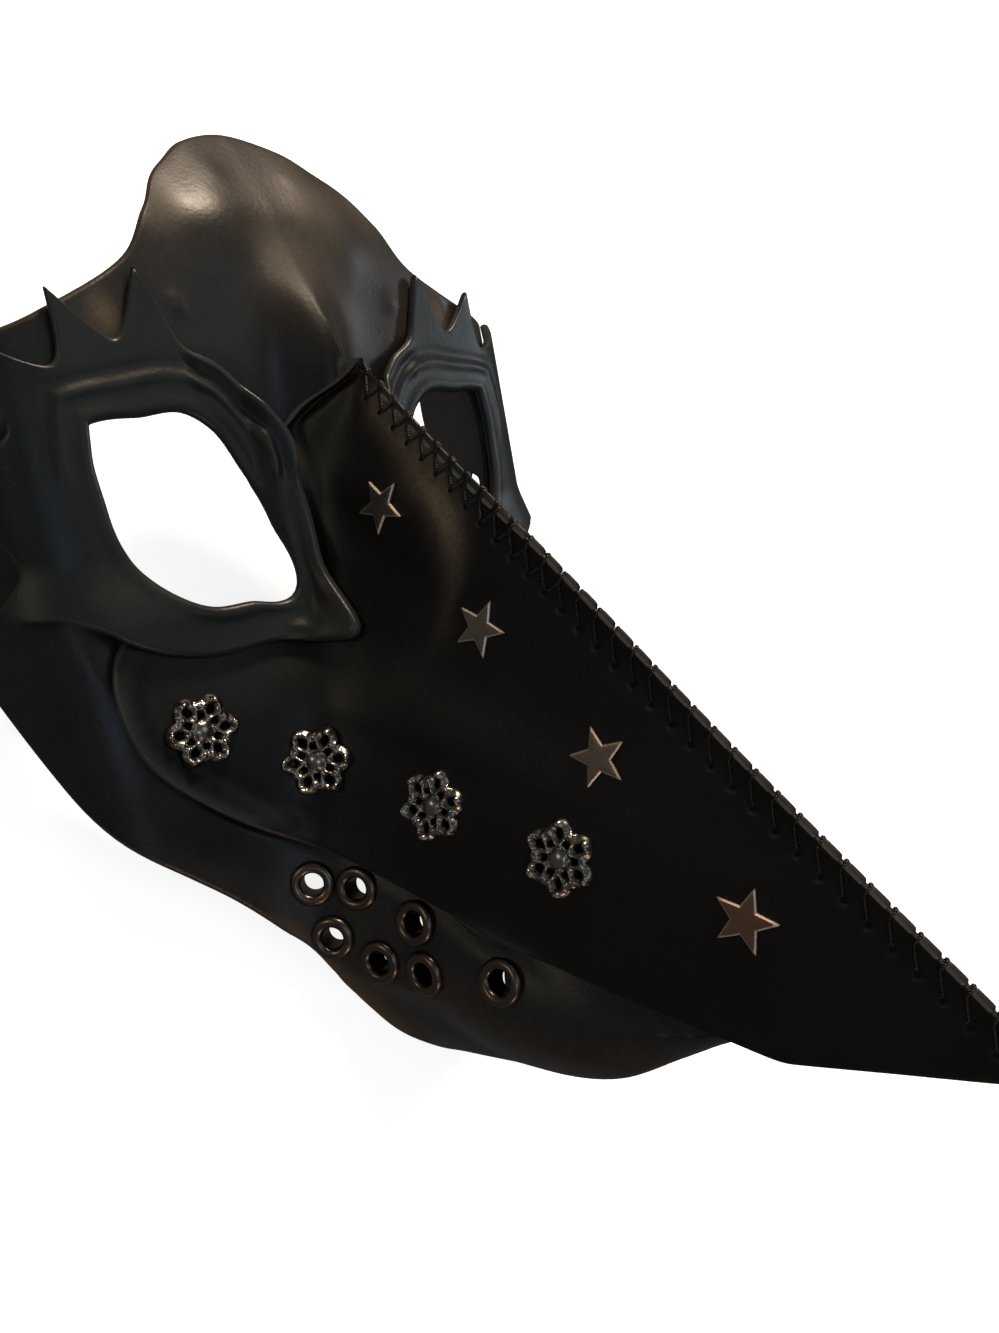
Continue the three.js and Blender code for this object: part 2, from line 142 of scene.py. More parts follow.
def layered(p, z, w):
    """The place at height w above the formed surface."""
    return surface(p, z) + outward(p, z) * np.asarray(w, float)[..., None]


CREST = surface(np.zeros(741), np.linspace(1.0, TIP_Z, 741))
CREST_WAY = (CREST[-1] - CREST[10]) / np.linalg.norm(CREST[-1] - CREST[10])
CREST_DOWN = np.array([0.0, CREST_WAY[2], -CREST_WAY[1]])
CREST_ALONG, CREST_DROP = (CREST - CREST[10]) @ CREST_WAY, (CREST - CREST[10]) @ CREST_DOWN


def beside_crest(points):
    """How far along the ridge a point lies, and how far from its crest."""
    along = (points - CREST[10]) @ CREST_WAY
    drop = (points - CREST[10]) @ CREST_DOWN - np.interp(along, CREST_ALONG, CREST_DROP)
    return along, np.hypot(drop, points[..., 0])


def crest_place(along, reach):
    """The (p, z) of a place so far along the ridge and so far down its side, by Newton's steps."""
    along, reach = np.broadcast_arrays(np.asarray(along, float), np.asarray(reach, float))
    aim = np.maximum(np.abs(reach), 0.12)
    p, z = 0.3 * aim, -along * 0.42 - aim * 0.9
    for _ in range(9):
        at, d = np.stack(beside_crest(surface(p, z))), 0.01
        by_p = (np.stack(beside_crest(surface(p + d, z))) - at) / d
        by_z = (np.stack(beside_crest(surface(p, z + d))) - at) / d
        miss = np.stack([along, aim]) - at
        across = by_p[0] * by_z[1] - by_p[1] * by_z[0]
        across = np.where(np.abs(across) < 1e-6, 1e-6, across)
        p = np.clip(p + np.clip((miss[0] * by_z[1] - miss[1] * by_z[0]) / across, -1, 1), 0.02, 6)
        z = z + np.clip((by_p[0] * miss[1] - by_p[1] * miss[0]) / across, -3, 3)
    return p, z


def lying(points):
    """From the mask's own axes in millimetres to where it lies, in metres."""
    c, s = cos(radians(REST_TILT)), sin(radians(REST_TILT))
    x, y, z = np.moveaxis(np.asarray(points, float), -1, 0)
    return np.stack([x, c * y - s * z + REST_FORWARD, s * y + c * z + REST_LIFT], -1) * MM


def curve(points, steps, before=None, after=None):
    """Catmull-Rom curve through the points, with that many steps between neighbours.

    A point before the first or after the last sets the way in which the curve starts or ends.
    """
    points = np.asarray(points, float)
    before = points[0] if before is None else before
    after = points[-1] if after is None else after
    held = np.vstack([[before], points, [after]])
    t = np.linspace(0, len(points) - 1, (len(points) - 1) * steps + 1)
    i = np.minimum(t.astype(int), len(points) - 2)
    t = (t - i)[:, None]
    a, b, c, d = held[i], held[i + 1], held[i + 2], held[i + 3]
    square, cube = 2 * a - 5 * b + 4 * c - d, 3 * b - a - 3 * c + d
    return 0.5 * (2 * b + (c - a) * t + square * t ** 2 + cube * t ** 3)


# Meshes
def make_mesh(name, points, faces, attributes=None, uv=None, sharp_angle=None):
    """A new object from whole arrays: points in metres, faces as rows of four or three point numbers."""
    mesh = bpy.data.meshes.new(name)
    mesh.from_pydata(points.tolist(), [], [tuple(dict.fromkeys(f)) for f in faces.tolist()])
    mesh.update()
    for key, values in (attributes or {}).items():
        layer = mesh.attributes.new(key, "FLOAT", "POINT")
        layer.data.foreach_set("value", np.ascontiguousarray(values, np.float32))
    if uv is not None:
        corners = np.empty(len(mesh.loops), np.int32)
        mesh.loops.foreach_get("vertex_index", corners)
        mesh.uv_layers.new(name="UVMap").data.foreach_set("uv", uv[corners].astype(np.float32).ravel())
    mesh.polygons.foreach_set("use_smooth", np.ones(len(mesh.polygons), bool))
    piece = bpy.data.objects.new(name, mesh)
    bpy.context.collection.objects.link(piece)
    if sharp_angle is not None:
        mesh.set_sharp_from_angle(angle=radians(sharp_angle))
    return piece


def grid_faces(rows, columns, loop_rows=False, loop_columns=False, turned=False):
    """Quads over a grid of point numbers, each grid line closed on itself where asked."""
    i = np.arange(rows if loop_rows else rows - 1)[:, None]
    j = np.arange(columns if loop_columns else columns - 1)[None, :]
    a, b = i * columns + j, i * columns + (j + 1) % columns
    c, d = ((i + 1) % rows) * columns + (j + 1) % columns, ((i + 1) % rows) * columns + j
    quads = np.stack([a, b, c, d], -1).reshape(-1, 4)
    return quads[:, ::-1] if turned else quads


def joined(parts):
    """Several (points, faces) sets as one."""
    points, faces, start = [], [], 0
    for some_points, some_faces in parts:
        points.append(some_points)
        faces.append(some_faces + start)
        start += len(some_points)
    return np.vstack(points), np.vstack(faces)


def welded(points, faces, extra=()):
    """Points nearer than a thousandth of a millimetre become one."""
    key = np.round(points / (MM * 1e-3)).astype(np.int64)
    _, first, back = np.unique(key, axis=0, return_index=True, return_inverse=True)
    back = back.ravel()
    return points[first], back[faces], [e[first] for e in extra]


def closed(points, faces, extra=()):
    """Welds rings that are drawn in to one point, and drops the faces that this leaves flat."""
    points, faces, extra = welded(points, faces, extra)
    same = np.diff(np.sort(faces, 1), axis=1) == 0
    return points, faces[same.sum(1) <= faces.shape[1] - 3], extra


def mirrored(points):
    """The same places on the wearer's left: x is turned round."""
    return points * np.array([-1, 1, 1])


def run_along(paths):
    """The length run so far at each point of many paths."""
    steps = np.linalg.norm(np.diff(paths, axis=1), axis=-1)
    return np.concatenate([np.zeros((len(paths), 1)), np.cumsum(steps, 1)], 1)


def across_rib(ends, columns, pull=(0.0, 0.0), fine=200):
    """Places along each rib from (p, z) to (p, z), evenly spaced along the formed surface.

    Each end is drawn in by its pull, so that the round of the cut edge ends where the rib does.
    """
    t = np.linspace(0, 1, fine + 1)[None, :, None]
    places = mix(ends[:, None, :2], ends[:, None, 2:], t)
    on = surface(places[..., 0], places[..., 1])
    run = run_along(on)
    first = np.broadcast_to(pull[0], len(ends))[:, None]
    last = run[:, -1:] - np.broadcast_to(pull[1], len(ends))[:, None]
    wanted = first + (last - first) * np.linspace(0, 1, columns + 1)[None, :]
    at = np.stack([np.interp(w, r, t[0, :, 0]) for w, r in zip(wanted, run)])
    return mix(ends[:, None, :2], ends[:, None, 2:], at[..., None]), run[:, -1]


ROUND = np.radians([18, 40, 65, 90, 115, 140, 162])


def leather_loop(places, top, bottom):
    """One closed loop round the leather's section for each rib.

    It runs along the outer face from the first edge to the last, round that edge in a half circle, back along
    the inner face and round the first edge. The half circles bulge along the surface by half the thickness.
    top and bottom are the heights of the two faces above the formed surface at each place.
    """
    outer = layered(places[..., 0], places[..., 1], top)
    inner = layered(places[..., 0], places[..., 1], bottom)
    middle, half = (outer + inner) / 2, (outer - inner) / 2
    reach = np.linalg.norm(half, axis=-1)

    def end(i, k, way):
        """The half circle round the section's end at column i, away from column k."""
        out = middle[:, i] - middle[:, k]
        out /= np.maximum(np.linalg.norm(out, axis=-1, keepdims=True), 1e-9)
        turn = ROUND[None, :, None] if way > 0 else ROUND[None, ::-1, None]
        return middle[:, i, None] + half[:, i, None] * np.cos(turn) + (
            out * reach[:, i, None])[:, None] * np.sin(turn)

    loop = [outer, end(-1, -2, 1), inner[:, ::-1], end(0, 1, -1)]
    face, turn = np.zeros(outer.shape[:2]), np.ones((len(outer), len(ROUND)))
    edge = [face, turn, face, turn]
    inside = [face, turn * 0.5, face + 1, turn * 0.5]
    return np.concatenate(loop, 1), np.concatenate(edge, 1), np.concatenate(inside, 1)


def soften(values):
    """Edge marks spread sideways: three times, each takes 0.8 of its neighbours' mean where that is more."""
    for _ in range(3):
        side = (np.roll(values, 1, 1) + np.roll(values, -1, 1)) / 2
        values = np.maximum(values * 0.995, side * 0.8)
    return values


# Shader sums
class Sum:
    """A value in a material. Its operators add Math nodes to the tree."""

    def __init__(self, tree, socket):
        self.tree, self.socket = tree, socket

    def math(self, operation, *others):
        """A Math node of that operation on this value and the others."""
        made = self.tree.node("ShaderNodeMath", {"operation": operation},
                              {i: v for i, v in enumerate((self, *others))})
        return Sum(self.tree, made.outputs[0])

    def __add__(self, other):
        return self.math("ADD", other)

    def __sub__(self, other):
        return self.math("SUBTRACT", other)

    def __rsub__(self, other):
        return (self * -1).math("ADD", other)

    def __mul__(self, other):
        return self.math("MULTIPLY", other)

    def __pow__(self, other):
        return self.math("POWER", other)

    __radd__, __rmul__ = __add__, __mul__

    def clamp(self, low=0.0, high=1.0):
        """The value held between low and high."""
        return self.math("MAXIMUM", low).math("MINIMUM", high)

    def step(self, low, high):
        """0 below low, 1 above high, smooth between them."""
        made = self.tree.node("ShaderNodeMapRange", {"interpolation_type": "SMOOTHSTEP"},
                              {"Value": self, "From Min": low, "From Max": high})
        return Sum(self.tree, made.outputs[0])


class Finish:
    """A material and its node tree, built up by node()."""

    def __init__(self, name):
        self.material = bpy.data.materials.new(name)
        self.material.use_nodes = True
        self.nodes, self.links = self.material.node_tree.nodes, self.material.node_tree.links
        self.shader = self.nodes["Principled BSDF"]
        self.coords = self.node("ShaderNodeTexCoord").outputs["Object"]

    def node(self, kind, settings=None, inputs=None):
        """A node of that kind, its settings set first and then its sockets' values or links."""
        made = self.nodes.new(kind)
        for key, value in (settings or {}).items():
            setattr(made, key, value)
        for key, value in (inputs or {}).items():
            self.join(made.inputs[key], value)
        return made

    def join(self, socket, value):
        """Links a value or socket to a socket, or sets a constant on it."""
        if isinstance(value, Sum):
            value = value.socket
        if isinstance(value, bpy.types.NodeSocket):
            self.links.new(value, socket)
        elif isinstance(value, (tuple, list)) and len(value) == 3 and socket.type == "RGBA":
            socket.default_value = (*value, 1)
        else:
            socket.default_value = value

    def noise(self, scale, detail=2.0, roughness=0.5, stretch=None, distortion=0.0):
        """Cloudy noise on the object's own coordinates, drawn out along them by stretch."""
        vector = self.coords
        if stretch:
            vector = self.node("ShaderNodeMapping", None, {"Vector": vector, "Scale": stretch}).outputs[0]
        made = self.node("ShaderNodeTexNoise", None, {"Vector": vector, "Scale": scale, "Detail": detail,
                                                      "Roughness": roughness, "Distortion": distortion})
        return Sum(self, made.outputs[0])

    def cells(self, scale):
        """Rounded cells: the smooth distance from the nearest of many scattered points."""
        made = self.node("ShaderNodeTexVoronoi", {"feature": "SMOOTH_F1"},
                         {"Vector": self.coords, "Scale": scale})
        return Sum(self, made.outputs["Distance"])

    def mark(self, name):
        """One of the mesh's own marks, by its name."""
        return Sum(self, self.node("ShaderNodeAttribute", {"attribute_name": name}).outputs["Fac"])

    def axis(self, direction, offset=0.0):
        """How far a place lies along a direction, in metres, from an offset."""
        dot = self.node("ShaderNodeVectorMath", {"operation": "DOT_PRODUCT"},
                        {0: self.coords, 1: tuple(float(v) for v in direction)})
        return Sum(self, dot.outputs["Value"]) - float(offset)

    def blend(self, factor, first, second):
        """A colour between two, as the factor goes from 0 to 1, through the node's three colour sockets."""
        made = self.node("ShaderNodeMix", {"data_type": "RGBA"}, {0: factor, 6: first, 7: second})
        return made.outputs[2]

    def set(self, **inputs):
        """Sets or links the shader's sockets, named with _ for each space."""
        for key, value in inputs.items():
            self.join(self.shader.inputs[key.replace("_", " ")], value)

    def bump(self, height, distance, strength=1.0):
        """Turns a height, times a distance in metres, into the shader's normal."""
        made = self.node("ShaderNodeBump", None,
                         {"Height": height, "Distance": distance, "Strength": strength})
        self.join(self.shader.inputs["Normal"], made.outputs[0])


# Camera, in the mask's own axes
CAMERA_AT = np.array([132.5, 158.8, 29.1])
CAMERA_RIGHT = np.array([-0.6882, 0.7208, 0.0826])
CAMERA_VIEW = np.array([-0.6827, -0.6048, -0.4100])
FOCAL, PICTURE_WIDTH, SENSOR = 1000.0, 999.0, 36.0


def direction_lying(v):
    """A direction in the mask's own axes, turned as the mask lies."""
    return (lying(v) - lying(np.zeros(3))) / MM


def add_camera():
    """The photograph's viewpoint on the mask, carried over to the mask as it lies."""
    camera = bpy.data.objects.new("camera", bpy.data.cameras.new("camera"))
    bpy.context.collection.objects.link(camera)
    camera.data.sensor_fit, camera.data.sensor_width = "HORIZONTAL", SENSOR
    camera.data.lens = SENSOR * FOCAL / PICTURE_WIDTH
    camera.data.clip_start, camera.data.clip_end = 0.01, 100.0
    turned = np.eye(4)
    right = direction_lying(CAMERA_RIGHT)
    right /= np.linalg.norm(right)
    view = direction_lying(CAMERA_VIEW)
    view -= right * (view @ right)
    view /= np.linalg.norm(view)
    turned[:3, 0], turned[:3, 1], turned[:3, 2] = right, np.cross(right, view), -view
    turned[:3, 3] = lying(CAMERA_AT)
    camera.matrix_world = Matrix(turned.tolist())
    bpy.context.scene.camera = camera


add_camera()


# Finishes
LACE_PITCH, LACE_FIRST, LACE_LAST, LACE_REACH = 4.75, 5.0, 167.0, 4.5
LACE_HOLE = 0.5
# Warm brown for the rub mark: partly rubbed wear, partly a painted sheen where the leather catches light.
RUB_AND_SHEEN_BROWN = (0.15, 0.112, 0.072)


def leather(name, dark, light, edge, rough=0.42, shine=0.4, holes=False, inner=(0.095, 0.098, 0.096),
            dulled=0.0):
    """Formed leather: fine pebbled grain, soft mottling, darker pores and rubbed, burnished edges.

    The mesh's own marks say where it is a cut edge, the inner face, rubbed brown with painted sheen, or
    beside the lacing.
    Where that brown is laid it is rougher by up to the value dulled.
    """
    f = Finish(name)
    broad = f.noise(16, 3, 0.55)
    cloud = f.noise(70, 4, 0.6)
    pebble = f.cells(1150)
    fine = f.noise(2600, 2, 0.6)
    crease = f.noise(150, 5, 0.7, distortion=0.6)
    edges = f.mark("edge").step(0.3, 0.95)
    back = f.mark("inside").step(0.5, 0.9)
    rub_and_sheen_mark = f.mark("rub")
    tone = (broad * 0.6 + cloud * 0.4).step(0.34, 0.68)
    colour = f.blend(tone, dark, light)
    # Rubbed brown and painted sheen, laid by the rub mark and mottled by the cloud noise.
    colour = f.blend((rub_and_sheen_mark * (0.55 + cloud * 0.9)).clamp(), colour, RUB_AND_SHEEN_BROWN)
    colour = f.blend((pebble * 1.4).clamp() * 0.35, colour, tuple(v * 0.45 for v in dark))
    colour = f.blend(back * 0.85, colour, inner)
    colour = f.blend(edges * (0.35 + cloud * 0.9).clamp(), colour, edge)
    roughness = rough + (cloud - 0.5) * 0.22 + (fine - 0.5) * 0.10 - edges * 0.08 + back * 0.25
    if dulled:
        roughness = roughness + (rub_and_sheen_mark * 1.5 - 0.24).clamp(0, dulled)
    height = pebble * -0.5 + fine * 0.25 + crease * 0.9
    if holes:
        step = f.mark("along") * (1000 / LACE_PITCH) + (0.5 - LACE_FIRST / LACE_PITCH)
        beside = (step.math("FRACT") - 0.5) * LACE_PITCH
        below = f.mark("reach") * 1000 - LACE_REACH
        away = (beside * beside + below * below) ** 0.5
        laced = f.mark("along").step(0.001, 0.003)
        hole = (1 - away.step(LACE_HOLE * 0.8, LACE_HOLE * 1.3)) * laced
        pressed = (1 - away.step(LACE_HOLE, LACE_HOLE * 3)) * laced
        # Painted shade: each lace hole is a near-black spot pressed in by the bump, not cut through.
        colour = f.blend(hole, colour, (0.0008, 0.0007, 0.0006))
        height = height - hole * 6 - pressed * 2.0
        roughness = roughness + hole * 0.4
    f.set(Base_Color=colour, Roughness=roughness.clamp(0.15, 0.9))
    f.shader.inputs["Specular IOR Level"].default_value = shine
    f.bump(height, 0.00011, 0.5)
    return f.material


def thread_finish():
    """Waxed thread: its strands twist round it, and the wax gives it a dull shine."""
    f = Finish("waxed_thread")
    uv = f.node("ShaderNodeSeparateXYZ", None, {0: f.node("ShaderNodeTexCoord").outputs["UV"]})
    along, around = Sum(f, uv.outputs[0]), Sum(f, uv.outputs[1])
    strand = ((along * 1.1 + around) * 2 * tau).math("SINE") * 0.5 + 0.5
    worn = f.noise(900, 3, 0.6)
    colour = f.blend(strand * 0.6 + worn * 0.4, (0.002, 0.002, 0.002), (0.018, 0.017, 0.015))
    f.set(Base_Color=colour, Roughness=0.62 - strand * 0.22)
    f.bump(strand, 0.00016, 0.8)
    return f.material


def metal(name, base, dark, rough, rim_rough=0.2, hollow=False, copper=None):
    """Polished cast metal with faint handling marks, darker where the hollow mark paints shade into its
    openings and low places, brighter on its bevels as a painted highlight and rougher there, and redder
    towards the beak's tip."""
    f = Finish(name)
    haze = f.noise(220, 4, 0.6)
    lines = f.noise(900, 2, 0.5, stretch=(1, 6, 1))
    colour = f.blend(haze.step(0.3, 0.75), base, tuple(v * 0.74 for v in base))
    # Painted shade in the rosettes' openings and low places, by their hollow mark.
    if hollow:
        colour = f.blend(f.mark("hollow").step(0.15, 0.85), colour, dark)
    if copper:
        colour = f.blend(f.axis((0, 1, 0)).step(0.035, 0.075) * 0.8, colour, copper)
    bevel = f.mark("edge").step(0.4, 0.9)
    # Painted highlight: bevels lifted to 2.2 times the base colour.
    colour = f.blend(bevel * 0.8, colour, tuple(min(1, v * 2.2) for v in base))
    roughness = rough + (haze - 0.5) * 0.18 + (lines - 0.5) * 0.06 + bevel * rim_rough
    f.set(Base_Color=colour, Roughness=roughness.clamp(0.08, 0.7))
    f.shader.inputs["Metallic"].default_value = 1.0
    f.bump(haze * 0.7 + lines * 0.3, 0.00004, 0.5)
    return f.material


FACE_LEATHER = leather(
    "face_leather", (0.0120, 0.0118, 0.0118), (0.0240, 0.0225, 0.0215), (0.070, 0.054, 0.040), 0.40,
    dulled=0.24)
BEAK_LEATHER = leather(
    "beak_leather", (0.0044, 0.0045, 0.0044), (0.0088, 0.0086, 0.0080), (0.054, 0.056, 0.057), 0.44, 0.30,
    holes=True)
PATCH_LEATHER = leather(
    "patch_leather", (0.0058, 0.0082, 0.0086), (0.0110, 0.0155, 0.0160), (0.036, 0.041, 0.041), 0.43)
RIDGE_LEATHER = leather(
    "cut_edge_leather", (0.030, 0.029, 0.026), (0.058, 0.055, 0.049), (0.26, 0.25, 0.22), 0.5)
THREAD = thread_finish()
STAR_METAL = metal(
    "star_gunmetal", (0.40, 0.34, 0.28), (0.05, 0.04, 0.035), 0.24, 0.24, copper=(0.42, 0.22, 0.16))
ROSETTE_METAL = metal("rosette_silver", (0.34, 0.32, 0.29), (0.004, 0.0036, 0.0032), 0.27, hollow=True)
EYELET_METAL = metal("eyelet_brass", (0.17, 0.135, 0.11), (0.02, 0.018, 0.015), 0.30)


def finish_piece(piece, material, slot, *nodes):
    """Gives a piece its material, hides the nodes it stands for, and parents it to the root body that it
    moves with.
    """
    piece.data.materials.append(material)
    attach(piece, "root")
    if nodes:
        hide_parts(*nodes)
    return piece


# Face panel
FACE_RIBS = [
    [0, -1, 0, 40.8], [8, -12, 19.5, 35.2], [20, -10, 28.1, 27], [33, -4, 36, 17.1], [49, -5, 54.8, 7.7],
    [57.5, -15, 78, -1], [58, -24, 109, -15], [55.5, -30.5, 112, -34], [52, -38.5, 101, -52],
    [46.5, -54, 78, -75.5], [42, -76, 52, -92], [26, -86, 37, -107.5], [15, -87, 28, -124.5],
    [8, -86, 17, -138.5], [0, -86.5, 0, -142]]
JAW_EYELETS = [[31.5, -97.5], [26.8, -96.9], [23.6, -98.6], [31.5, -107.7], [27.9, -109.9], [25.2, -107.5],
               [22.4, -99.4]]
EYELET_BORE, EYELET_BARREL, EYELET_FLANGE, EYELET_RISE, EYELET_TAIL = 2.3, 3.0, 4.6, 1.0, 2.4
HIDDEN_TUCK = 2.4
EDGE_PULL = LEATHER * 0.48
FACE_COLUMNS = 34
FACE_SWELLINGS = [
    (0.25, (9.5, 33, 2.2, 2.0)), (1.1, (14.5, 28, 8.5, 11)), (0.6, (27.5, 9.5, 2.4, 2.2)),
    (0.6, (42, 6, 2.6, 4)), (-0.5, (20, 3, 6, 4)), (0.5, (60, -72, 10, 8)), (-0.45, (46, -90, 8, 6)),
    (0.5, (33, -116, 6, 6))]


def blob(p, z, at_p, at_z, wide, tall):
    """A round swelling of height 1 at a place on both sides of the sheet: one hump across times one up."""
    return hump(np.abs(p), at_p, wide) * hump(z, at_z, tall)


def face_relief(p, z):
    """Soft hollows and swellings of the formed forehead, brow and jaw, in millimetres: a few round swellings,
    and low waves across the forehead, even about the midline, that fade out below it."""
    high = ease((z - 4) / 12)
    broad = 0.13 * np.cos(tau * p / 31) * np.sin(tau * z / 27 + 0.4)
    narrow = 0.07 * np.cos(tau * p / 17) * np.cos(tau * z / 22)
    return high * (broad + narrow) + sum(rise * blob(p, z, *place) for rise, place in FACE_SWELLINGS)


def frame_at(p, z, w, radius, turn=0.0):
    """Where a fitting sits: its middle, the ways across, up and out, turned about the way out.

    The middle is lifted by the highest of the twelve places round it, so that a flat base clears the leather.
    """
    wide = np.linalg.norm(surface(p + 0.1, z) - surface(p - 0.1, z)) / 0.2
    tall = np.linalg.norm(surface(p, z + 0.1) - surface(p, z - 0.1)) / 0.2
    angle = np.arange(12) * pi / 6
    ring_p, ring_z = p + radius / wide * np.cos(angle), z + radius / tall * np.sin(angle)
    level = w if callable(w) else lambda some_p, some_z: np.full(np.shape(some_p), w)
    middle = layered(np.array(p), np.array(z), level(np.array(p), np.array(z)))
    ring = layered(ring_p, ring_z, level(ring_p, ring_z))
    across = ring[0] - ring[6]
    out = np.cross(ring[3] - ring[9], across)
    across, out = across / np.linalg.norm(across), out / np.linalg.norm(out)
    up = np.cross(out, across)
    lift = max(0.0, float(((ring - middle) @ out).max()))
    c, s = cos(turn), sin(turn)
    return middle + out * lift * 0.6, across * c + up * s, up * c - across * s, out


def set_in(points, frame_of, side=1):
    """Points of a fitting's own shape, put in its place; side -1 is the wearer's left."""
    middle, across, up, out = frame_of
    placed = middle + points[..., :1] * across + points[..., 1:2] * up + points[..., 2:] * out
    return lying(placed if side > 0 else mirrored(placed))


def cutter(shape_points, faces):
    """A plain object for punching holes, taken out again after use."""
    mesh = bpy.data.meshes.new("cutter")
    mesh.from_pydata(shape_points.tolist(), [], faces.tolist())
    made = bpy.data.objects.new("cutter", mesh)
    bpy.context.collection.objects.link(made)
    return made


def column(radius_x, radius_y, sides, power=1.0, half=8.0):
    """A closed upright column: its radii times the cosine and sine, each to a power that squares it off."""
    a = np.arange(sides) * tau / sides
    round_x, round_y = (np.sign(v) * np.abs(v) ** power for v in (np.cos(a), np.sin(a)))
    ring = np.stack([round_x * radius_x, round_y * radius_y], -1)
    low = np.column_stack([ring, np.full(sides, -half)])
    high = np.column_stack([ring, np.full(sides, half)])
    points = np.vstack([low, high, [[0, 0, -half], [0, 0, half]]])
    k = np.arange(sides)
    n = (k + 1) % sides
    return points, np.vstack([np.stack([k, n, n + sides], -1), np.stack([k, n + sides, k + sides], -1),
                              np.stack([n, k, np.full(sides, 2 * sides)], -1),
                              np.stack([k + sides, n + sides, np.full(sides, 2 * sides + 1)], -1)])


def jaw_face(p, z):
    """Height of the face leather's outer side, with a hair's breadth to spare for the eyelets."""
    return 0.05 - LAYER + face_relief(p, z)


EYELET_SEATS = [frame_at(p, z, jaw_face, EYELET_FLANGE) for p, z in JAW_EYELETS]


def face_panel():
    """One ring of leather: ribs from its hidden inner edge to its outer edge, all the way round the face."""
    flip = np.array([-1, 1, -1, 1])
    ends = curve(FACE_RIBS, 13, FACE_RIBS[1] * flip, FACE_RIBS[-2] * flip)
    places, _ = across_rib(ends, FACE_COLUMNS, (0, EDGE_PULL))
    tuck = HIDDEN_TUCK * np.clip(1 - np.linspace(0, 3, FACE_COLUMNS + 1), 0, 1)[None, :]
    relief = face_relief(places[..., 0], places[..., 1]) * ease(np.linspace(-0.3, 2.5, FACE_COLUMNS + 1))
    top = -LAYER - tuck + relief
    loop, edge, inside = leather_loop(places, top, top - LEATHER)
    rub = np.zeros_like(edge)
    columns = places.shape[1]
    # Painted warm glow on the jaw's lower edge: the brown mark covers the rounded edge and fades up the outer
    # face.
    low = ease((-places[:, -1, 1] - 100) / 12) * ease((places[:, -1, 1] + 141) / 8)
    rub[:, columns:columns + len(ROUND)] = low[:, None] * 1.6
    rub[:, columns - 5:columns] = low[:, None] * np.array([0.1, 0.25, 0.45, 0.7, 1.0])
    across, height = np.abs(places[..., 0]), places[..., 1]
    # Lighter brown, partly rubbed wear and partly painted sheen: over the forehead's upper half, near its
    # highlight, in the valley between the flames, low on the jaw and beside the nose bridge.
    brown = 0.10 * ease((height - 10) / 16) + 0.2 * blob(across, height, 26, 27, 6, 8) + 0.8 * blob(
        across, height, 42, 6, 3, 5) + 0.16 * blob(across, height, 28, -112, 18, 14) + 0.26 * blob(
        across, height, 2, 16, 8, 9)
    rub[:, :columns] = np.maximum(rub[:, :columns], brown)
    right = loop.copy()
    right[0, :, 0] = 0
    right[-1, :, 0] = 0
    rows = len(right)
    left = mirrored(right)[::-1][1:-1]
    whole = np.concatenate([right, left])
    marks = [np.concatenate([m, m[::-1][1:-1]]) for m in (soften(edge), inside, rub)]
    far = slice(rows, None)
    marks[2][far, :columns] += (0.28 * blob(across, height, 13, 20, 6, 15) + 0.2 * blob(
        across, height, 30, 9, 9, 9))[::-1][1:-1]
    faces = grid_faces(len(whole), whole.shape[1], True, True)
    piece = make_mesh("face_leather_panel", lying(whole).reshape(-1, 3), faces,
                      dict(zip(("edge", "inside", "rub"), (m.ravel() for m in marks))))
    hole_points, hole_faces = column(EYELET_BARREL + 0.25, EYELET_BARREL + 0.25, 32)
    slot_points, slot_faces = column(SLOT_WIDE / 2, SLOT_LONG / 2, 32, 0.35)
    slot_seat = frame_at(SLOT_P, SLOT_Z, -LAYER, SLOT_WIDE)
    parts = []
    for side in (1, -1):
        for seat in EYELET_SEATS:
            f = hole_faces if side > 0 else hole_faces[:, ::-1]
            parts.append((set_in(hole_points, seat, side), f))
        parts.append((set_in(slot_points, slot_seat, side), slot_faces if side > 0 else slot_faces[:, ::-1]))
    tool = cutter(*joined(parts))
    modifier = piece.modifiers.new("punched", "BOOLEAN")
    modifier.operation, modifier.object, modifier.solver = "DIFFERENCE", tool, "EXACT"
    bpy.context.view_layer.objects.active = piece
    bpy.ops.object.modifier_apply(modifier=modifier.name)
    bpy.data.objects.remove(tool)
    piece.data.set_sharp_from_angle(angle=radians(50))
    return finish_piece(piece, FACE_LEATHER, "face_leather", "face_panel")


# Beak panel
BEAK_RIBS = [
    [0.4, 0.8, 0.4], [-2, 5, -5.5], [-5, 11.4, -12.3], [-9, 15.5, -18], [-20, 15, -32], [-32, 16, -45],
    [-40, 26, -48.8], [-46, 42, -48.8], [-51, 53, -48], [-56, 57.7, -57], [-62, 55.5, -69],
    [-68, 46, -79.5], [-72, 34, -88], [-77, 22, -92.8], [-82, 15.5, -92], [-87, 12, -89.5], [-91.5, 8.5, -89]]
TIP_RIB = 12
BEAK_SWELLINGS = [(0.9, (12.5, -21, 3.2, 7)), (-0.5, (7.5, -33, 2.2, 9)), (0.35, (10, -60, 4, 8)),
                  (-0.3, (20, -66, 5, 7))]
BEAK_STEPS, BEAK_COLUMNS = 10, 84
BAND = np.array([[4, 2.2], [12, 3.0], [20, 4.5], [32, 6.5], [38, 9.0], [43, 12.5], [47, 18.0], [50, 25.0]])


def seam_at(z):
    """Where the slit's edge lies on the sheet: 0.20 from the midline, and 0.04 along the upper beak."""
    return 0.20 - 0.16 * ease((-10 - z) / 10) * ease((z + 54) / 22)


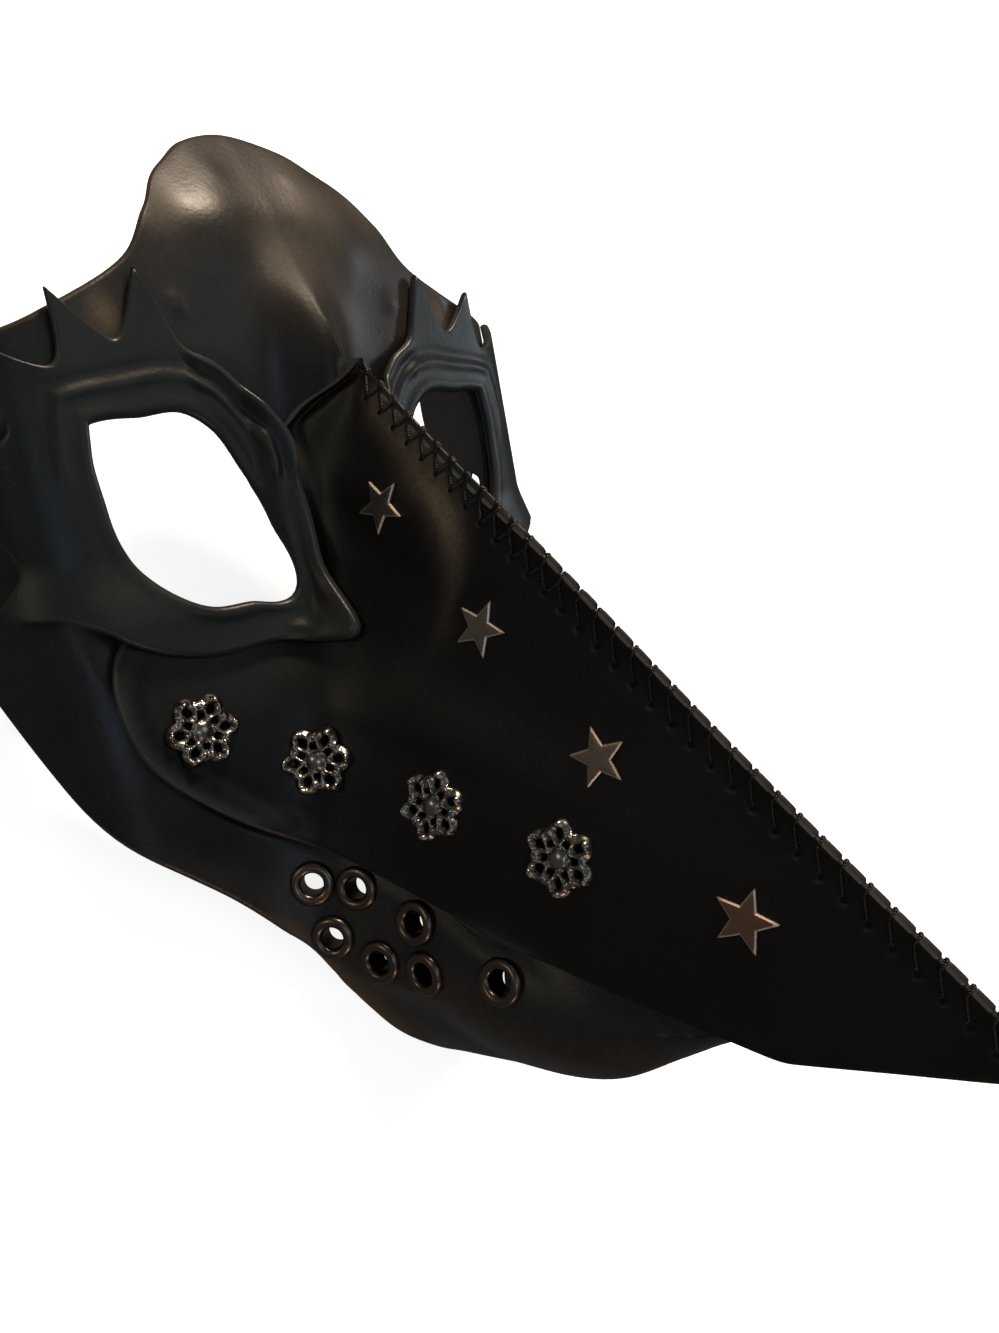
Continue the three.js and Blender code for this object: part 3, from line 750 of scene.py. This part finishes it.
def beak_form(p, z):
    """Height of the beak's leather over the formed surface: its edges stand up along the laced ridge, a long
    slope beside the ridge turns up, it swells under the arch and dips softly further down."""
    along, reach = beside_crest(surface(p, z))
    crest = 0.5 * hump(reach, 0, 2.0) * ease((-z - 0.5) / 2)
    out = reach - np.interp(along, BAND[:, 0], BAND[:, 1])
    upper = ease((along - 2) / 8) * ease((54 - along) / 18)
    slope = ease((out + 3.5) / 7.0) * (1 - ease((out - 5) / 28)) * upper
    return crest + slope + sum(rise * blob(p, z, *place) for rise, place in BEAK_SWELLINGS)


def beak_lip(from_edge, row):
    """The rear edge turns up in a hump, with a hollow beside it, and its lighter edge colour spreads over the
    hump as a painted highlight. The arch is highest.
    """
    arch, cheek = ease((3.8 - row) / 1.4), ease((row - 8.3) / 0.8) * ease((12.4 - row) / 1.0)
    arch_lip = 1.6 * hump(from_edge, 0, 2.3) - 1.5 * hump(from_edge, 6.6, 2.3)
    cheek_lip = 0.95 * hump(from_edge, 0, 2.6) - 0.5 * hump(from_edge, 6.0, 2.4)
    # Painted highlight: how far the lighter edge colour spreads over the lip, strongest on the arch.
    worn = arch * 0.75 * hump(from_edge, 0, 2.4) + cheek * 0.6 * hump(from_edge, 0, 2.8)
    return arch * arch_lip + cheek * cheek_lip, worn


def beak_panel():
    """Both sides, the underside and the cheeks, slit along the ridge: ribs from the midline to the rear edge.

    Rows before the tip start at the slit and have a round edge there. Later rows cross the underside's
    midline, so they have none, and the two halves are welded on it. The end rows are closed over.
    """
    tip_row = TIP_RIB * BEAK_STEPS
    made = curve(BEAK_RIBS, BEAK_STEPS)
    rows = np.arange(len(made))
    slit = rows < tip_row
    ends = np.column_stack([np.where(slit, seam_at(made[:, 0]), 0), made[:, 0], made[:, 1:]])
    places, length = across_rib(ends, BEAK_COLUMNS, (0, EDGE_PULL))
    from_edge = length[:, None] * np.linspace(1, 0, BEAK_COLUMNS + 1)[None, :]
    covered = ease((rows / BEAK_STEPS - 2.5) / 1.5) * ease((8.5 - rows / BEAK_STEPS) / 1.5)
    hidden = np.clip(1 - np.linspace(BEAK_COLUMNS, 0, BEAK_COLUMNS + 1) / 10, 0, 1)
    tuck = 0.7 * HIDDEN_TUCK * covered[:, None] * hidden
    end_row = ease((rows[-1] - rows) / 14)[:, None]
    lip, worn = beak_lip(from_edge, rows[:, None] / BEAK_STEPS)
    top = beak_form(places[..., 0], places[..., 1]) + lip - tuck - 1.1 * (1 - end_row)
    loop, edge, inside = leather_loop(places, top, top - LEATHER)
    loop[..., 0] = np.maximum(loop[..., 0], np.where(slit[:, None], 0.10, 0.0))
    count, faced = loop.shape[1], BEAK_COLUMNS + 1
    inner_end = 2 * faced + len(ROUND) - 1
    loop[tip_row:, inner_end:, 0] = 0
    loop[tip_row:, 0, 0] = 0
    flat = loop.reshape(-1, 3)
    along, reach = beside_crest(flat)
    outer = np.zeros(loop.shape[:2])
    outer[:, :faced] = 1
    shown = outer.ravel() * (along > -2)
    across, height = np.abs(places[..., 0]), places[..., 1]
    rub = np.zeros_like(edge)
    face_along, face_reach = along.reshape(edge.shape)[:, :faced], reach.reshape(edge.shape)[:, :faced]
    out = face_reach - np.interp(face_along, BAND[:, 0], BAND[:, 1])
    # Painted sheen with some rubbed brown: a warm band beside the crest on the upper beak, a spot on the
    # swelling under the arch and a patch near the crest's upper end.
    rub[:, :faced] = 1.1 * hump(out, 0, 4.2) * ease((face_along - 2) / 8) * ease((56 - face_along) / 26)
    rub[:, :faced] += 0.26 * blob(across, height, 12.5, -21, 3.5, 7)
    rub[:, :faced] += 0.9 * hump(face_along, 15, 10) * hump(face_reach, 3.4, 2.0)
    edge = soften(edge)
    # The lip's painted highlight widens the edge mark.
    edge[:, :faced] = np.maximum(edge[:, :faced], worn)
    faces = grid_faces(len(rows), count, False, True)
    quad_row, quad_column = np.divmod(np.arange(len(faces)), count)
    faces = faces[~((quad_row >= tip_row) & (quad_column >= inner_end))]
    order = np.arange(count)
    near, back = order[:count // 2], order[::-1][:count // 2]
    lid = np.stack([near[:-1], back[:-1], back[1:], near[1:]], -1)
    faces = np.vstack([faces, lid[:, ::-1], lid + (len(rows) - 1) * count])
    right = lying(flat)
    points, faces = joined([(right, faces), (mirrored(right), faces[:, ::-1])])
    marks = [edge.ravel(), inside.ravel(), rub.ravel(), along * MM * shown, reach * MM]
    points, faces, marks = welded(points, faces, [np.tile(m, 2) for m in marks])
    faces = faces[np.array([len(set(f)) > 2 for f in faces.tolist()])]
    names = ("edge", "inside", "rub", "along", "reach")
    piece = make_mesh("beak_leather_panel", points, faces, dict(zip(names, marks)))
    piece.data.set_sharp_from_angle(angle=radians(60))
    return finish_piece(piece, BEAK_LEATHER, "beak_leather", "beak_panel")


# Eye patches
HOLE = [[45, 22.6], [69, 17.8], [97, 17.1], [117, 15.7], [152, 13.2], [197, 15.7], [227, 24],
        [251, 19.2], [276, 17.9], [300, 16.6], [326, 16.2], [368, 16.7], [393, 20], [405, 22.6]]
FLAMES = np.array([[88.5, 42.3], [75.5, 31.3], [65, 42.6], [53, 33], [41, 46], [26, 34], [6, 52], [-14, 36],
                   [-24, 46], [-33, 32], [-45, 29]])
EDGES = [[-45, 29], [-76.5, 27.1], [-107, 27.5], [-130.5, 33], [-155, 25.6], [-185, 22.8], [-210, 24.8],
         [-228, 25.5], [-245, 27.5], [-261.5, 30], [-271.5, 42.3]]
PATCH_SEAT = 0.1
PATCH_COLUMNS = 32


def eye_patch(side):
    """A layer round the eye hole. At each angle a rib runs from the hole to the edge, and between a valley
    and a point of the flames the edge's radius grows as the power 1.9 of the angle from the valley."""
    keys = np.concatenate([FLAMES[:, 0], np.array(EDGES)[1:, 0]])
    each = np.maximum(6, np.round(np.abs(np.diff(keys)) / 0.9)).astype(int)
    stretches = zip(keys[:-1], keys[1:], each)
    angle = np.concatenate([np.linspace(a, b, n, endpoint=False) for a, b, n in stretches])
    hole = curve(HOLE, 8)
    inner = np.interp((angle - 45) % 360 + 45, hole[:, 0], hole[:, 1])
    i = np.clip(np.searchsorted(-FLAMES[:, 0], -angle, "right") - 1, 0, len(FLAMES) - 2)
    a0, r0, a1, r1 = FLAMES[i, 0], FLAMES[i, 1], FLAMES[i + 1, 0], FLAMES[i + 1, 1]
    t = np.clip((angle - a0) / (a1 - a0), 0, 1)
    flames = np.where(r0 > r1, r1 + (r0 - r1) * (1 - t) ** 1.9, r0 + (r1 - r0) * t ** 1.9)
    edge_curve = curve(EDGES, 8)[::-1]
    plain = np.interp(angle, edge_curve[:, 0], edge_curve[:, 1])
    outer = np.where(angle > FLAMES[-1, 0], flames, plain)
    pull = LEATHER / 2
    radius = mix((inner + pull)[:, None], (outer - pull)[:, None], np.linspace(0, 1, PATCH_COLUMNS + 1))
    p = EYE_P + radius * np.cos(np.radians(angle))[:, None]
    z = EYE_Z + radius * np.sin(np.radians(angle))[:, None]
    places = np.stack([p, z], -1)
    level = PATCH_SEAT + LAYER * ease(np.maximum((20 - p) / 4, (-34 - z) / 12.5))
    from_hole, from_edge = radius - inner[:, None], outer[:, None] - radius
    turned = angle % 360
    lid = (ease((turned - 8) / 14) * ease((118 - turned) / 14) * ease((outer - inner - 8) / 4))[:, None]
    brow = (ease((turned - 96) / 12) * ease((172 - turned) / 10))[:, None]
    inner_side = (ease((turned - 172) / 14) * ease((246 - turned) / 10))[:, None]
    calm = 1.0 if side > 0 else 0.4
    tooled = lid * (0.30 * hump(from_hole, 6.2, 1.1) - 0.26 * hump(from_hole, 8.4, 1.2))
    first_band, second_band = hump(from_edge, 0.9, 0.9), hump(from_edge, 5.2, 1.0)
    bands = calm * brow * (0.50 * first_band - 0.60 * hump(from_edge, 3.2, 0.9) + 0.42 * second_band)
    rim = 0.25 * hump(from_hole, 1.6, 1.2) + inner_side * 0.5 * hump(from_edge, 2.2, 1.6)
    top = level + tooled + bands + rim
    loop, edge, inside = leather_loop(places, top, level - LEATHER)
    edge = soften(edge)
    outer_face = edge[:, :PATCH_COLUMNS + 1]
    # Painted highlight: the two bands over the brow take the lighter edge colour as light lines.
    outer_face[:] = np.maximum(outer_face, calm * brow * (0.8 * first_band + 0.75 * second_band))
    points = loop if side > 0 else mirrored(loop)
    faces = grid_faces(len(loop), loop.shape[1], True, True, turned=side < 0)
    name = "right" if side > 0 else "left"
    piece = make_mesh(f"eye_patch_leather_{name}", lying(points).reshape(-1, 3), faces,
                      {"edge": edge.ravel(), "inside": inside.ravel()})
    piece.data.set_sharp_from_angle(angle=radians(60))
    return finish_piece(piece, PATCH_LEATHER, "patch_leather", f"eye_patch_{name}")


# Lacing
THREAD_RADIUS = 0.28
CROSSING = 0.87
SEAM_Z = np.linspace(0.6, TIP_Z + 0.3, 400)
SEAM_ALONG, SEAM_REACH = beside_crest(surface(seam_at(SEAM_Z), SEAM_Z))


def bridge_share(along):
    """1 on the nose bridge, where the two edges meet flat, and 0 on the beak, where they stand up."""
    return ease((np.interp(along, SEAM_ALONG, SEAM_Z) + 26) / 10)


def crest_round(along, past, over):
    """A place by the beak's cut edge: so far along the ridge, so far past the outer face's end round towards
    the other edge, or on the face where that is below 0, and so high above the leather. Its second value is
    the way out of the leather there."""
    along, past, over = np.broadcast_arrays(along, past, over)
    z = np.interp(along, SEAM_ALONG, SEAM_Z)
    p = seam_at(z)
    reach = np.interp(along, SEAM_ALONG, SEAM_REACH)
    out = outward(p, z)
    middle = layered(p, z, beak_form(p, z) - LEATHER / 2)
    next_p, next_z = crest_place(along, reach + 0.5)
    rise = middle - layered(next_p, next_z, beak_form(next_p, next_z) - LEATHER / 2)
    rise -= out * (rise * out).sum(-1, keepdims=True)
    rise /= np.linalg.norm(rise, axis=-1, keepdims=True)
    turn = (np.maximum(past, 0) / (LEATHER / 2))[..., None]
    away = out * np.cos(turn) + rise * np.sin(turn)
    place = middle + away * (LEATHER / 2 + over)[..., None]
    place[..., 0] = np.maximum(place[..., 0], 0.08)
    face_p, face_z = crest_place(along, reach + np.maximum(-past, 0))
    on_face = (past < 0)[..., None]
    place = np.where(on_face, layered(face_p, face_z, beak_form(face_p, face_z) + over), place)
    return place, np.where(on_face, outward(face_p, face_z), away)


def strands(path, out, thick, side, sides=7):
    """A round section carried along many paths at once, drawn in to a point at both ends."""
    path, out = path * np.array([side, 1, 1]), out * np.array([side, 1, 1])
    way = np.gradient(path, axis=1)
    way /= np.maximum(np.linalg.norm(way, axis=-1, keepdims=True), 1e-9)
    across = np.cross(way, out)
    across /= np.maximum(np.linalg.norm(across, axis=-1, keepdims=True), 1e-9)
    up = np.cross(across, way)
    taper = np.ones(path.shape[1])
    taper[[0, -1]] = 0.0
    taper[[1, -2]] = 0.8
    a = np.arange(sides) * tau / sides
    c, s = np.cos(a)[None, None, :, None], np.sin(a)[None, None, :, None]
    ring = across[:, :, None] * c + up[:, :, None] * s
    points = path[:, :, None] + ring * (thick * taper)[None, :, None, None]
    uv = np.stack(np.broadcast_arrays(run_along(path)[:, :, None], (a / tau)[None, None, :]), -1)
    count, rows = path.shape[:2]
    one = grid_faces(rows, sides, False, True)
    faces = (one[None] + (np.arange(count) * rows * sides)[:, None, None]).reshape(-1, 4)
    return lying(points).reshape(-1, 3), faces, uv.reshape(-1, 2)


def leg_path(holes, lean, over):
    """From each hole up the beak's side and over its edge's round, leaning along the ridge as it climbs."""
    t = np.linspace(0, 1, 10)[None, :]
    dive = 1.5 * ease((0.14 - t) / 0.14)
    p, z = crest_place(holes + lean * LACE_PITCH * 0.8 * t, mix(LACE_REACH, 1.5, t) + 0 * holes)
    side_path, side_out = layered(p, z, beak_form(p, z) + over - dive), outward(p, z)
    share = bridge_share(holes)
    past = mix(np.array([[0.42, 0.86, 1.27, 1.61, 1.92]]), np.array([[-0.7, -0.35, 0.0, 0.3, 0.6]]), share)
    height = np.array([[over, over, over, over * 0.6, -0.4]]) + 0.02 + 0.2 * share
    shift = np.array([[0.84, 0.88, 0.92, 0.96, 1.0]])
    round_path, round_out = crest_round(holes + lean * LACE_PITCH * shift, past, height)
    return np.concatenate([side_path, round_path], 1), np.concatenate([side_out, round_out], 1)


def ridge_lacing():
    """A thread rises from every hole, leans back and crosses the ridge where two bulges of its edge meet. The
    first third has a second thread that leans forward, and both are thicker there."""
    holes = np.arange(LACE_FIRST, LACE_LAST, LACE_PITCH)[:, None]
    first, last = holes[holes[:, 0] < 66], holes[holes[:, 0] >= 66]
    made = []
    for side in (1, -1):
        made.append(strands(*leg_path(first, -CROSSING, 0.16), THREAD_RADIUS * 1.7, side))
        made.append(strands(*leg_path(last, -CROSSING, 0.14), THREAD_RADIUS, side))
        made.append(strands(*leg_path(first, 1 - CROSSING + 0.2, 0.08), THREAD_RADIUS * 1.4, side))
    points, faces = joined([(p, outward_faces(p, f)) for p, f, _ in made])
    points, faces, (uv,) = closed(points, faces, [np.vstack([u for _, _, u in made])])
    piece = make_mesh("ridge_thread", points, faces, uv=uv)
    return finish_piece(piece, THREAD, "lacing_thread", "ridge_lacing")


def ridge_edge(side):
    """The cut edges along the ridge, pulled in at every crossing thread so that they bulge between them: on
    each stretch the height over the round falls as the sixth power towards both ends and both sides."""
    holes = np.arange(LACE_FIRST + LACE_PITCH, LACE_LAST, LACE_PITCH)[:, None, None]
    s = np.linspace(-1, 1, 9)[None, :, None]
    width = np.linspace(-1, 1, 7)[None, None, :]
    along = holes - LACE_PITCH * CROSSING + LACE_PITCH / 2 + s * (LACE_PITCH / 2 - 0.16)
    past = mix(0.88 + 1.12 * width, -0.55 + 1.15 * width, bridge_share(along))
    full = 0.46 + 0.25 * ease((along - 30) / 15) * ease((88 - along) / 20)
    over = full * (1 - np.abs(s) ** 6) * (1 - 0.97 * np.abs(width) ** 6) - 0.12
    top, _ = crest_round(along, past, over)
    under = crest_round(along, past, np.full_like(over, -0.55))[0][:, :, ::-1]
    section = np.concatenate([top, under], 2)
    section[:, [0, -1]] = section[:, [0, -1]].mean(2, keepdims=True)
    count, rows, sides = section.shape[:3]
    faces = (grid_faces(rows, sides, False, True)[None] + (np.arange(count) * rows * sides)[:, None, None])
    points = lying(section * np.array([side, 1, 1])).reshape(-1, 3)
    # Painted highlight: the lower rows of each bulge's outer face take the lighter edge colour as a bright
    # rim line.
    lit = np.concatenate([np.array([1, 1, 0.35, 0.1, 0.1, 0.2, 0.3]), np.zeros(7)])
    marks = np.broadcast_to(lit, section.shape[:3]).ravel()
    faces = outward_faces(points, faces.reshape(-1, 4))
    points, faces, marks = closed(points, faces, [marks, marks * 0])
    name = "right" if side > 0 else "left"
    piece = make_mesh(f"ridge_edge_{name}", points, faces, {"edge": marks[0], "inside": marks[1]})
    return finish_piece(piece, RIDGE_LEATHER, "beak_leather")


# Studs and eyelets
STARS = [[4.9, -25.3, 9], [5.5, -41.4, 26], [5.55, -55.3, 69], [5.8, -70.3, 36]]
STAR_TIP, STAR_NOTCH = 5.9, 2.5
ROSETTES = [[43.8, -65.6], [24.8, -73.8], [16.8, -74.9], [12, -74]]
PETALS = 6


def star_shape():
    """A five-pointed plate: its outline, drawn in step by step up a bevel to a faintly domed top."""
    per_edge = 6
    corner = np.arange(10)
    radius = np.where(corner % 2 == 0, STAR_TIP, STAR_NOTCH)
    angle = pi / 2 + corner * pi / 5
    corners = np.stack([radius * np.cos(angle), radius * np.sin(angle)], -1)
    t = np.arange(per_edge)[None, :, None] / per_edge
    outline = (corners[:, None] * (1 - t) + np.roll(corners, -1, 0)[:, None] * t).reshape(-1, 2)
    blunt = np.linalg.norm(outline, axis=1)
    outline = outline * (1 - 0.035 * ease((blunt - STAR_TIP * 0.93) / (STAR_TIP * 0.07)))[:, None]
    rings = [(0, -0.3), (0.97, -0.3), (1.0, 0.0), (1.0, 0.62), (0.985, 0.74), (0.86, 0.96), (0.83, 0.965),
             (0.5, 0.98), (0.25, 0.985), (0, 0.985)]
    # Edge marks on the bevel rings, where the metal takes its painted highlight.
    marks = [0, 0, 0.3, 0.8, 1, 1, 0, 0, 0, 0]
    points = np.concatenate([np.column_stack([outline * s, np.full(len(outline), h)]) for s, h in rings])
    points, faces, (marks,) = closed(points * MM, grid_faces(len(rings), len(outline), False, True),
                                     [np.repeat(marks, len(outline))])
    return points / MM, faces, marks


def rosette_shape():
    """Medallion in the look of openwork, worked as heights over a polar grid.

    The outline swells six times. Each petal is a raised teardrop rim about a sunken middle painted dark as a
    shaded opening, with a knob at its tip. Beads stand between the petals, small sunken dots painted dark lie
    inside them, and a dome in the middle.
    """
    sides, rings = 144, 36
    a = np.arange(sides) * tau / sides
    swell = (0.5 + 0.5 * np.cos(PETALS * a)) ** 0.6
    reach = 5.7 + 1.7 * swell
    t = np.linspace(0, 1, rings)[:, None]
    r = t * reach[None, :]
    turn = (a + pi / PETALS) % (tau / PETALS) - pi / PETALS
    on, off = r * np.cos(turn), r * np.sin(turn)
    petal = np.sqrt(((on - 4.5) / 2.3) ** 2 + (off / (1.3 + 0.2 * np.clip(on - 2.4, 0, 4))) ** 2)
    rim = np.exp(-((petal - 0.80) / 0.30) ** 2)
    pierced = 1 - ease((petal - 0.26) / 0.20)
    between = (a % (tau / PETALS)) - pi / PETALS
    on_b, off_b = r * np.cos(between), r * np.sin(between)
    bead = np.clip(1 - ((on_b - 4.9) ** 2 + off_b ** 2) / 1.05 ** 2, 0, 1) ** 0.5
    dot = np.exp(-(((on_b - 3.0) ** 2 + off_b ** 2) / 0.66 ** 2) ** 2)
    knob = np.clip(1 - ((on - 6.5) ** 2 + off ** 2) / 0.95 ** 2, 0, 1) ** 0.5
    middle = np.clip(1 - (r / 1.9) ** 2, 0, 1) ** 0.5
    height = 0.5 + 0.85 * rim + 0.85 * bead + 0.75 * knob + 1.1 * middle
    open_part = np.clip(pierced + dot, 0, 1) * (1 - middle ** 0.3)
    height = height * (1 - 0.8 * open_part)
    height = height * ease((1 - t) / 0.07 + 0.35)
    top = np.stack([r * np.cos(a), r * np.sin(a), height], -1)
    base = np.stack([reach * np.cos(a), reach * np.sin(a), np.full(sides, -0.3)], -1)[None]
    points = np.concatenate([top, base, base * np.array([0, 0, 1])]).reshape(-1, 3)
    # Painted shade: the hollow mark darkens the sunken openings and, by their depth, the low places.
    hollow = np.concatenate([np.clip(open_part * 1.25 + 0.5 * (0.62 - height), 0, 1), np.ones((2, sides))])
    faces = grid_faces(rings + 2, sides, False, True)
    points, faces, (hollow,) = closed(points * MM, faces, [hollow.ravel()])
    return points / MM, faces, hollow


def eyelet_shape():
    """A rolled ring: its section is a half-round flange over a thin barrel, carried round a circle."""
    t = np.linspace(0, pi, 9)
    middle, half = (EYELET_BORE + EYELET_FLANGE) / 2, (EYELET_FLANGE - EYELET_BORE) / 2
    crown = np.stack([middle + half * np.cos(t), 0.12 + EYELET_RISE * np.sin(t)], -1)
    foot = -LEATHER - EYELET_TAIL
    barrel = np.array([[EYELET_BORE, foot], [EYELET_BORE + 0.3, foot - 0.15], [EYELET_BARREL, foot + 0.1],
                       [EYELET_BARREL, -0.02], [EYELET_FLANGE, -0.02]])
    section = np.vstack([crown, barrel])
    sides = 40
    a = np.arange(sides) * tau / sides
    points = np.stack([section[None, :, 0] * np.cos(a)[:, None], section[None, :, 0] * np.sin(a)[:, None],
                       np.broadcast_to(section[None, :, 1], (sides, len(section)))], -1)
    return points.reshape(-1, 3), grid_faces(sides, len(section), True, True, turned=True)


def outward_faces(points, faces):
    """Turns every face of a closed shape round if its volume comes out negative."""
    a, b, c, d = (points[faces[:, i]] for i in range(4))
    volume = np.einsum("ij,ij->", a, np.cross(b, c)) + np.einsum("ij,ij->", a, np.cross(c, d))
    return faces if volume > 0 else faces[:, ::-1]


def add_fittings():
    """Stars, rosettes and eyelets, each shape made once and set in its places on both sides."""
    star_points, star_faces, star_edge = star_shape()
    rose_points, rose_faces, rose_shade = rosette_shape()
    ring_points, ring_faces = eyelet_shape()
    for side, hand in ((1, "right"), (-1, "left")):
        for k, (p, z, turn) in enumerate(STARS):
            placed = set_in(star_points, frame_at(p, z, beak_form, STAR_TIP, radians(turn)), side)
            piece = make_mesh(f"star_{k + 1}_{hand}", placed, outward_faces(placed, star_faces),
                              {"edge": star_edge, "hollow": star_edge * 0}, sharp_angle=28)
            finish_piece(piece, STAR_METAL, "star_metal", f"star_stud_{k + 1}_{hand}")
        for k, (p, z) in enumerate(ROSETTES):
            placed = set_in(rose_points, frame_at(p, z, beak_form, 6.5, radians(15 * k)), side)
            piece = make_mesh(f"rosette_{k + 1}_{hand}", placed, outward_faces(placed, rose_faces),
                              {"edge": rose_shade * 0, "hollow": rose_shade})
            finish_piece(piece, ROSETTE_METAL, "rosette_metal", f"rosette_stud_{k + 1}_{hand}")
        for k, seat in enumerate(EYELET_SEATS):
            placed = set_in(ring_points, seat, side)
            unmarked = np.zeros(len(placed))
            piece = make_mesh(f"eyelet_{k + 1}_{hand}", placed, outward_faces(placed, ring_faces),
                              {"edge": unmarked, "hollow": unmarked}, sharp_angle=50)
            finish_piece(piece, EYELET_METAL, "eyelet_metal", f"jaw_eyelet_{k + 1}_{hand}")


face_panel()
beak_panel()
for side in (1, -1):
    eye_patch(side)
ridge_lacing()
for side in (1, -1):
    ridge_edge(side)
add_fittings()


# Floor and light
FLOOR_HALF, FLOOR_LOW, DOME_RADIUS = 4.0, -0.0002, 3.92


def add_floor():
    """A wide floor, and a dome of the same pale grey far behind it. Neither is mirrored in the mask."""
    f = Finish("pale_floor")
    f.set(Base_Color=(0.86, 0.86, 0.85), Roughness=0.9)
    f.join(f.shader.inputs["Emission Color"], (1.0, 1.0, 1.0))
    f.shader.inputs["Emission Strength"].default_value = 0.85
    f.shader.inputs["Specular IOR Level"].default_value = 0.1
    square = np.array([[-1, -1, 0], [1, -1, 0], [1, 1, 0], [-1, 1, 0]]) * FLOOR_HALF + [0, 0, FLOOR_LOW]
    up, round_it = np.meshgrid(np.linspace(0, pi / 2, 13), np.arange(48) * tau / 48, indexing="ij")
    dome = np.stack([np.cos(up) * np.cos(round_it), np.cos(up) * np.sin(round_it), np.sin(up) * 0.8], -1)
    dome_points, dome_faces, _ = closed((dome * DOME_RADIUS).reshape(-1, 3),
                                        grid_faces(13, 48, False, True, turned=True))
    for name, points, faces in (("floor", square, np.array([[0, 1, 2, 3]])),
                                ("backdrop", dome_points, dome_faces)):
        stage = make_mesh(name, points, faces)
        stage.data.materials.append(f.material)
        stage.visible_glossy = stage.visible_diffuse = False
        stage.visible_shadow = name == "floor"


def add_light(name, azimuth, elevation, distance, size, power, colour):
    """A soft panel of light that faces the mask from a direction: azimuth from +Y towards +X."""
    az, el = radians(azimuth), radians(elevation)
    way = Vector((sin(az) * cos(el), cos(az) * cos(el), sin(el)))
    data = bpy.data.lights.new(name, "AREA")
    data.shape, data.size, data.size_y = "RECTANGLE", size[0], size[1]
    data.energy, data.color = power, colour
    light = bpy.data.objects.new(name, data)
    light.location = Vector((0, 0, 0.05)) + way * distance
    light.rotation_euler = way.to_track_quat("Z", "Y").to_euler()
    bpy.context.collection.objects.link(light)


add_floor()
add_light("window_low_left", -160, 43, 1.1, (0.22, 0.18), 10.5, (1.0, 0.80, 0.60))
add_light("window_left", -88, 30, 1.2, (0.34, 0.20), 2.0, (0.84, 0.92, 1.0))
add_light("ceiling", -30, 72, 1.3, (0.6, 0.6), 0.95, (0.80, 0.95, 1.0))
add_light("lamp_right", 110, 15, 1.1, (0.26, 0.20), 0.75, (1.0, 0.84, 0.62))
add_light("sky_right", 58, 46, 1.2, (0.4, 0.3), 0.85, (0.55, 0.74, 1.0))
add_light("lamp_low_front", 22, 6, 0.9, (0.3, 0.1), 0.7, (1.0, 0.64, 0.42))

world = bpy.data.worlds.new("studio")
world.use_nodes = True
world.node_tree.nodes["Background"].inputs["Color"].default_value = (1.0, 0.98, 0.96, 1)
world.node_tree.nodes["Background"].inputs["Strength"].default_value = 0.075
bpy.context.scene.world = world
bpy.context.scene.view_settings.view_transform = "Standard"
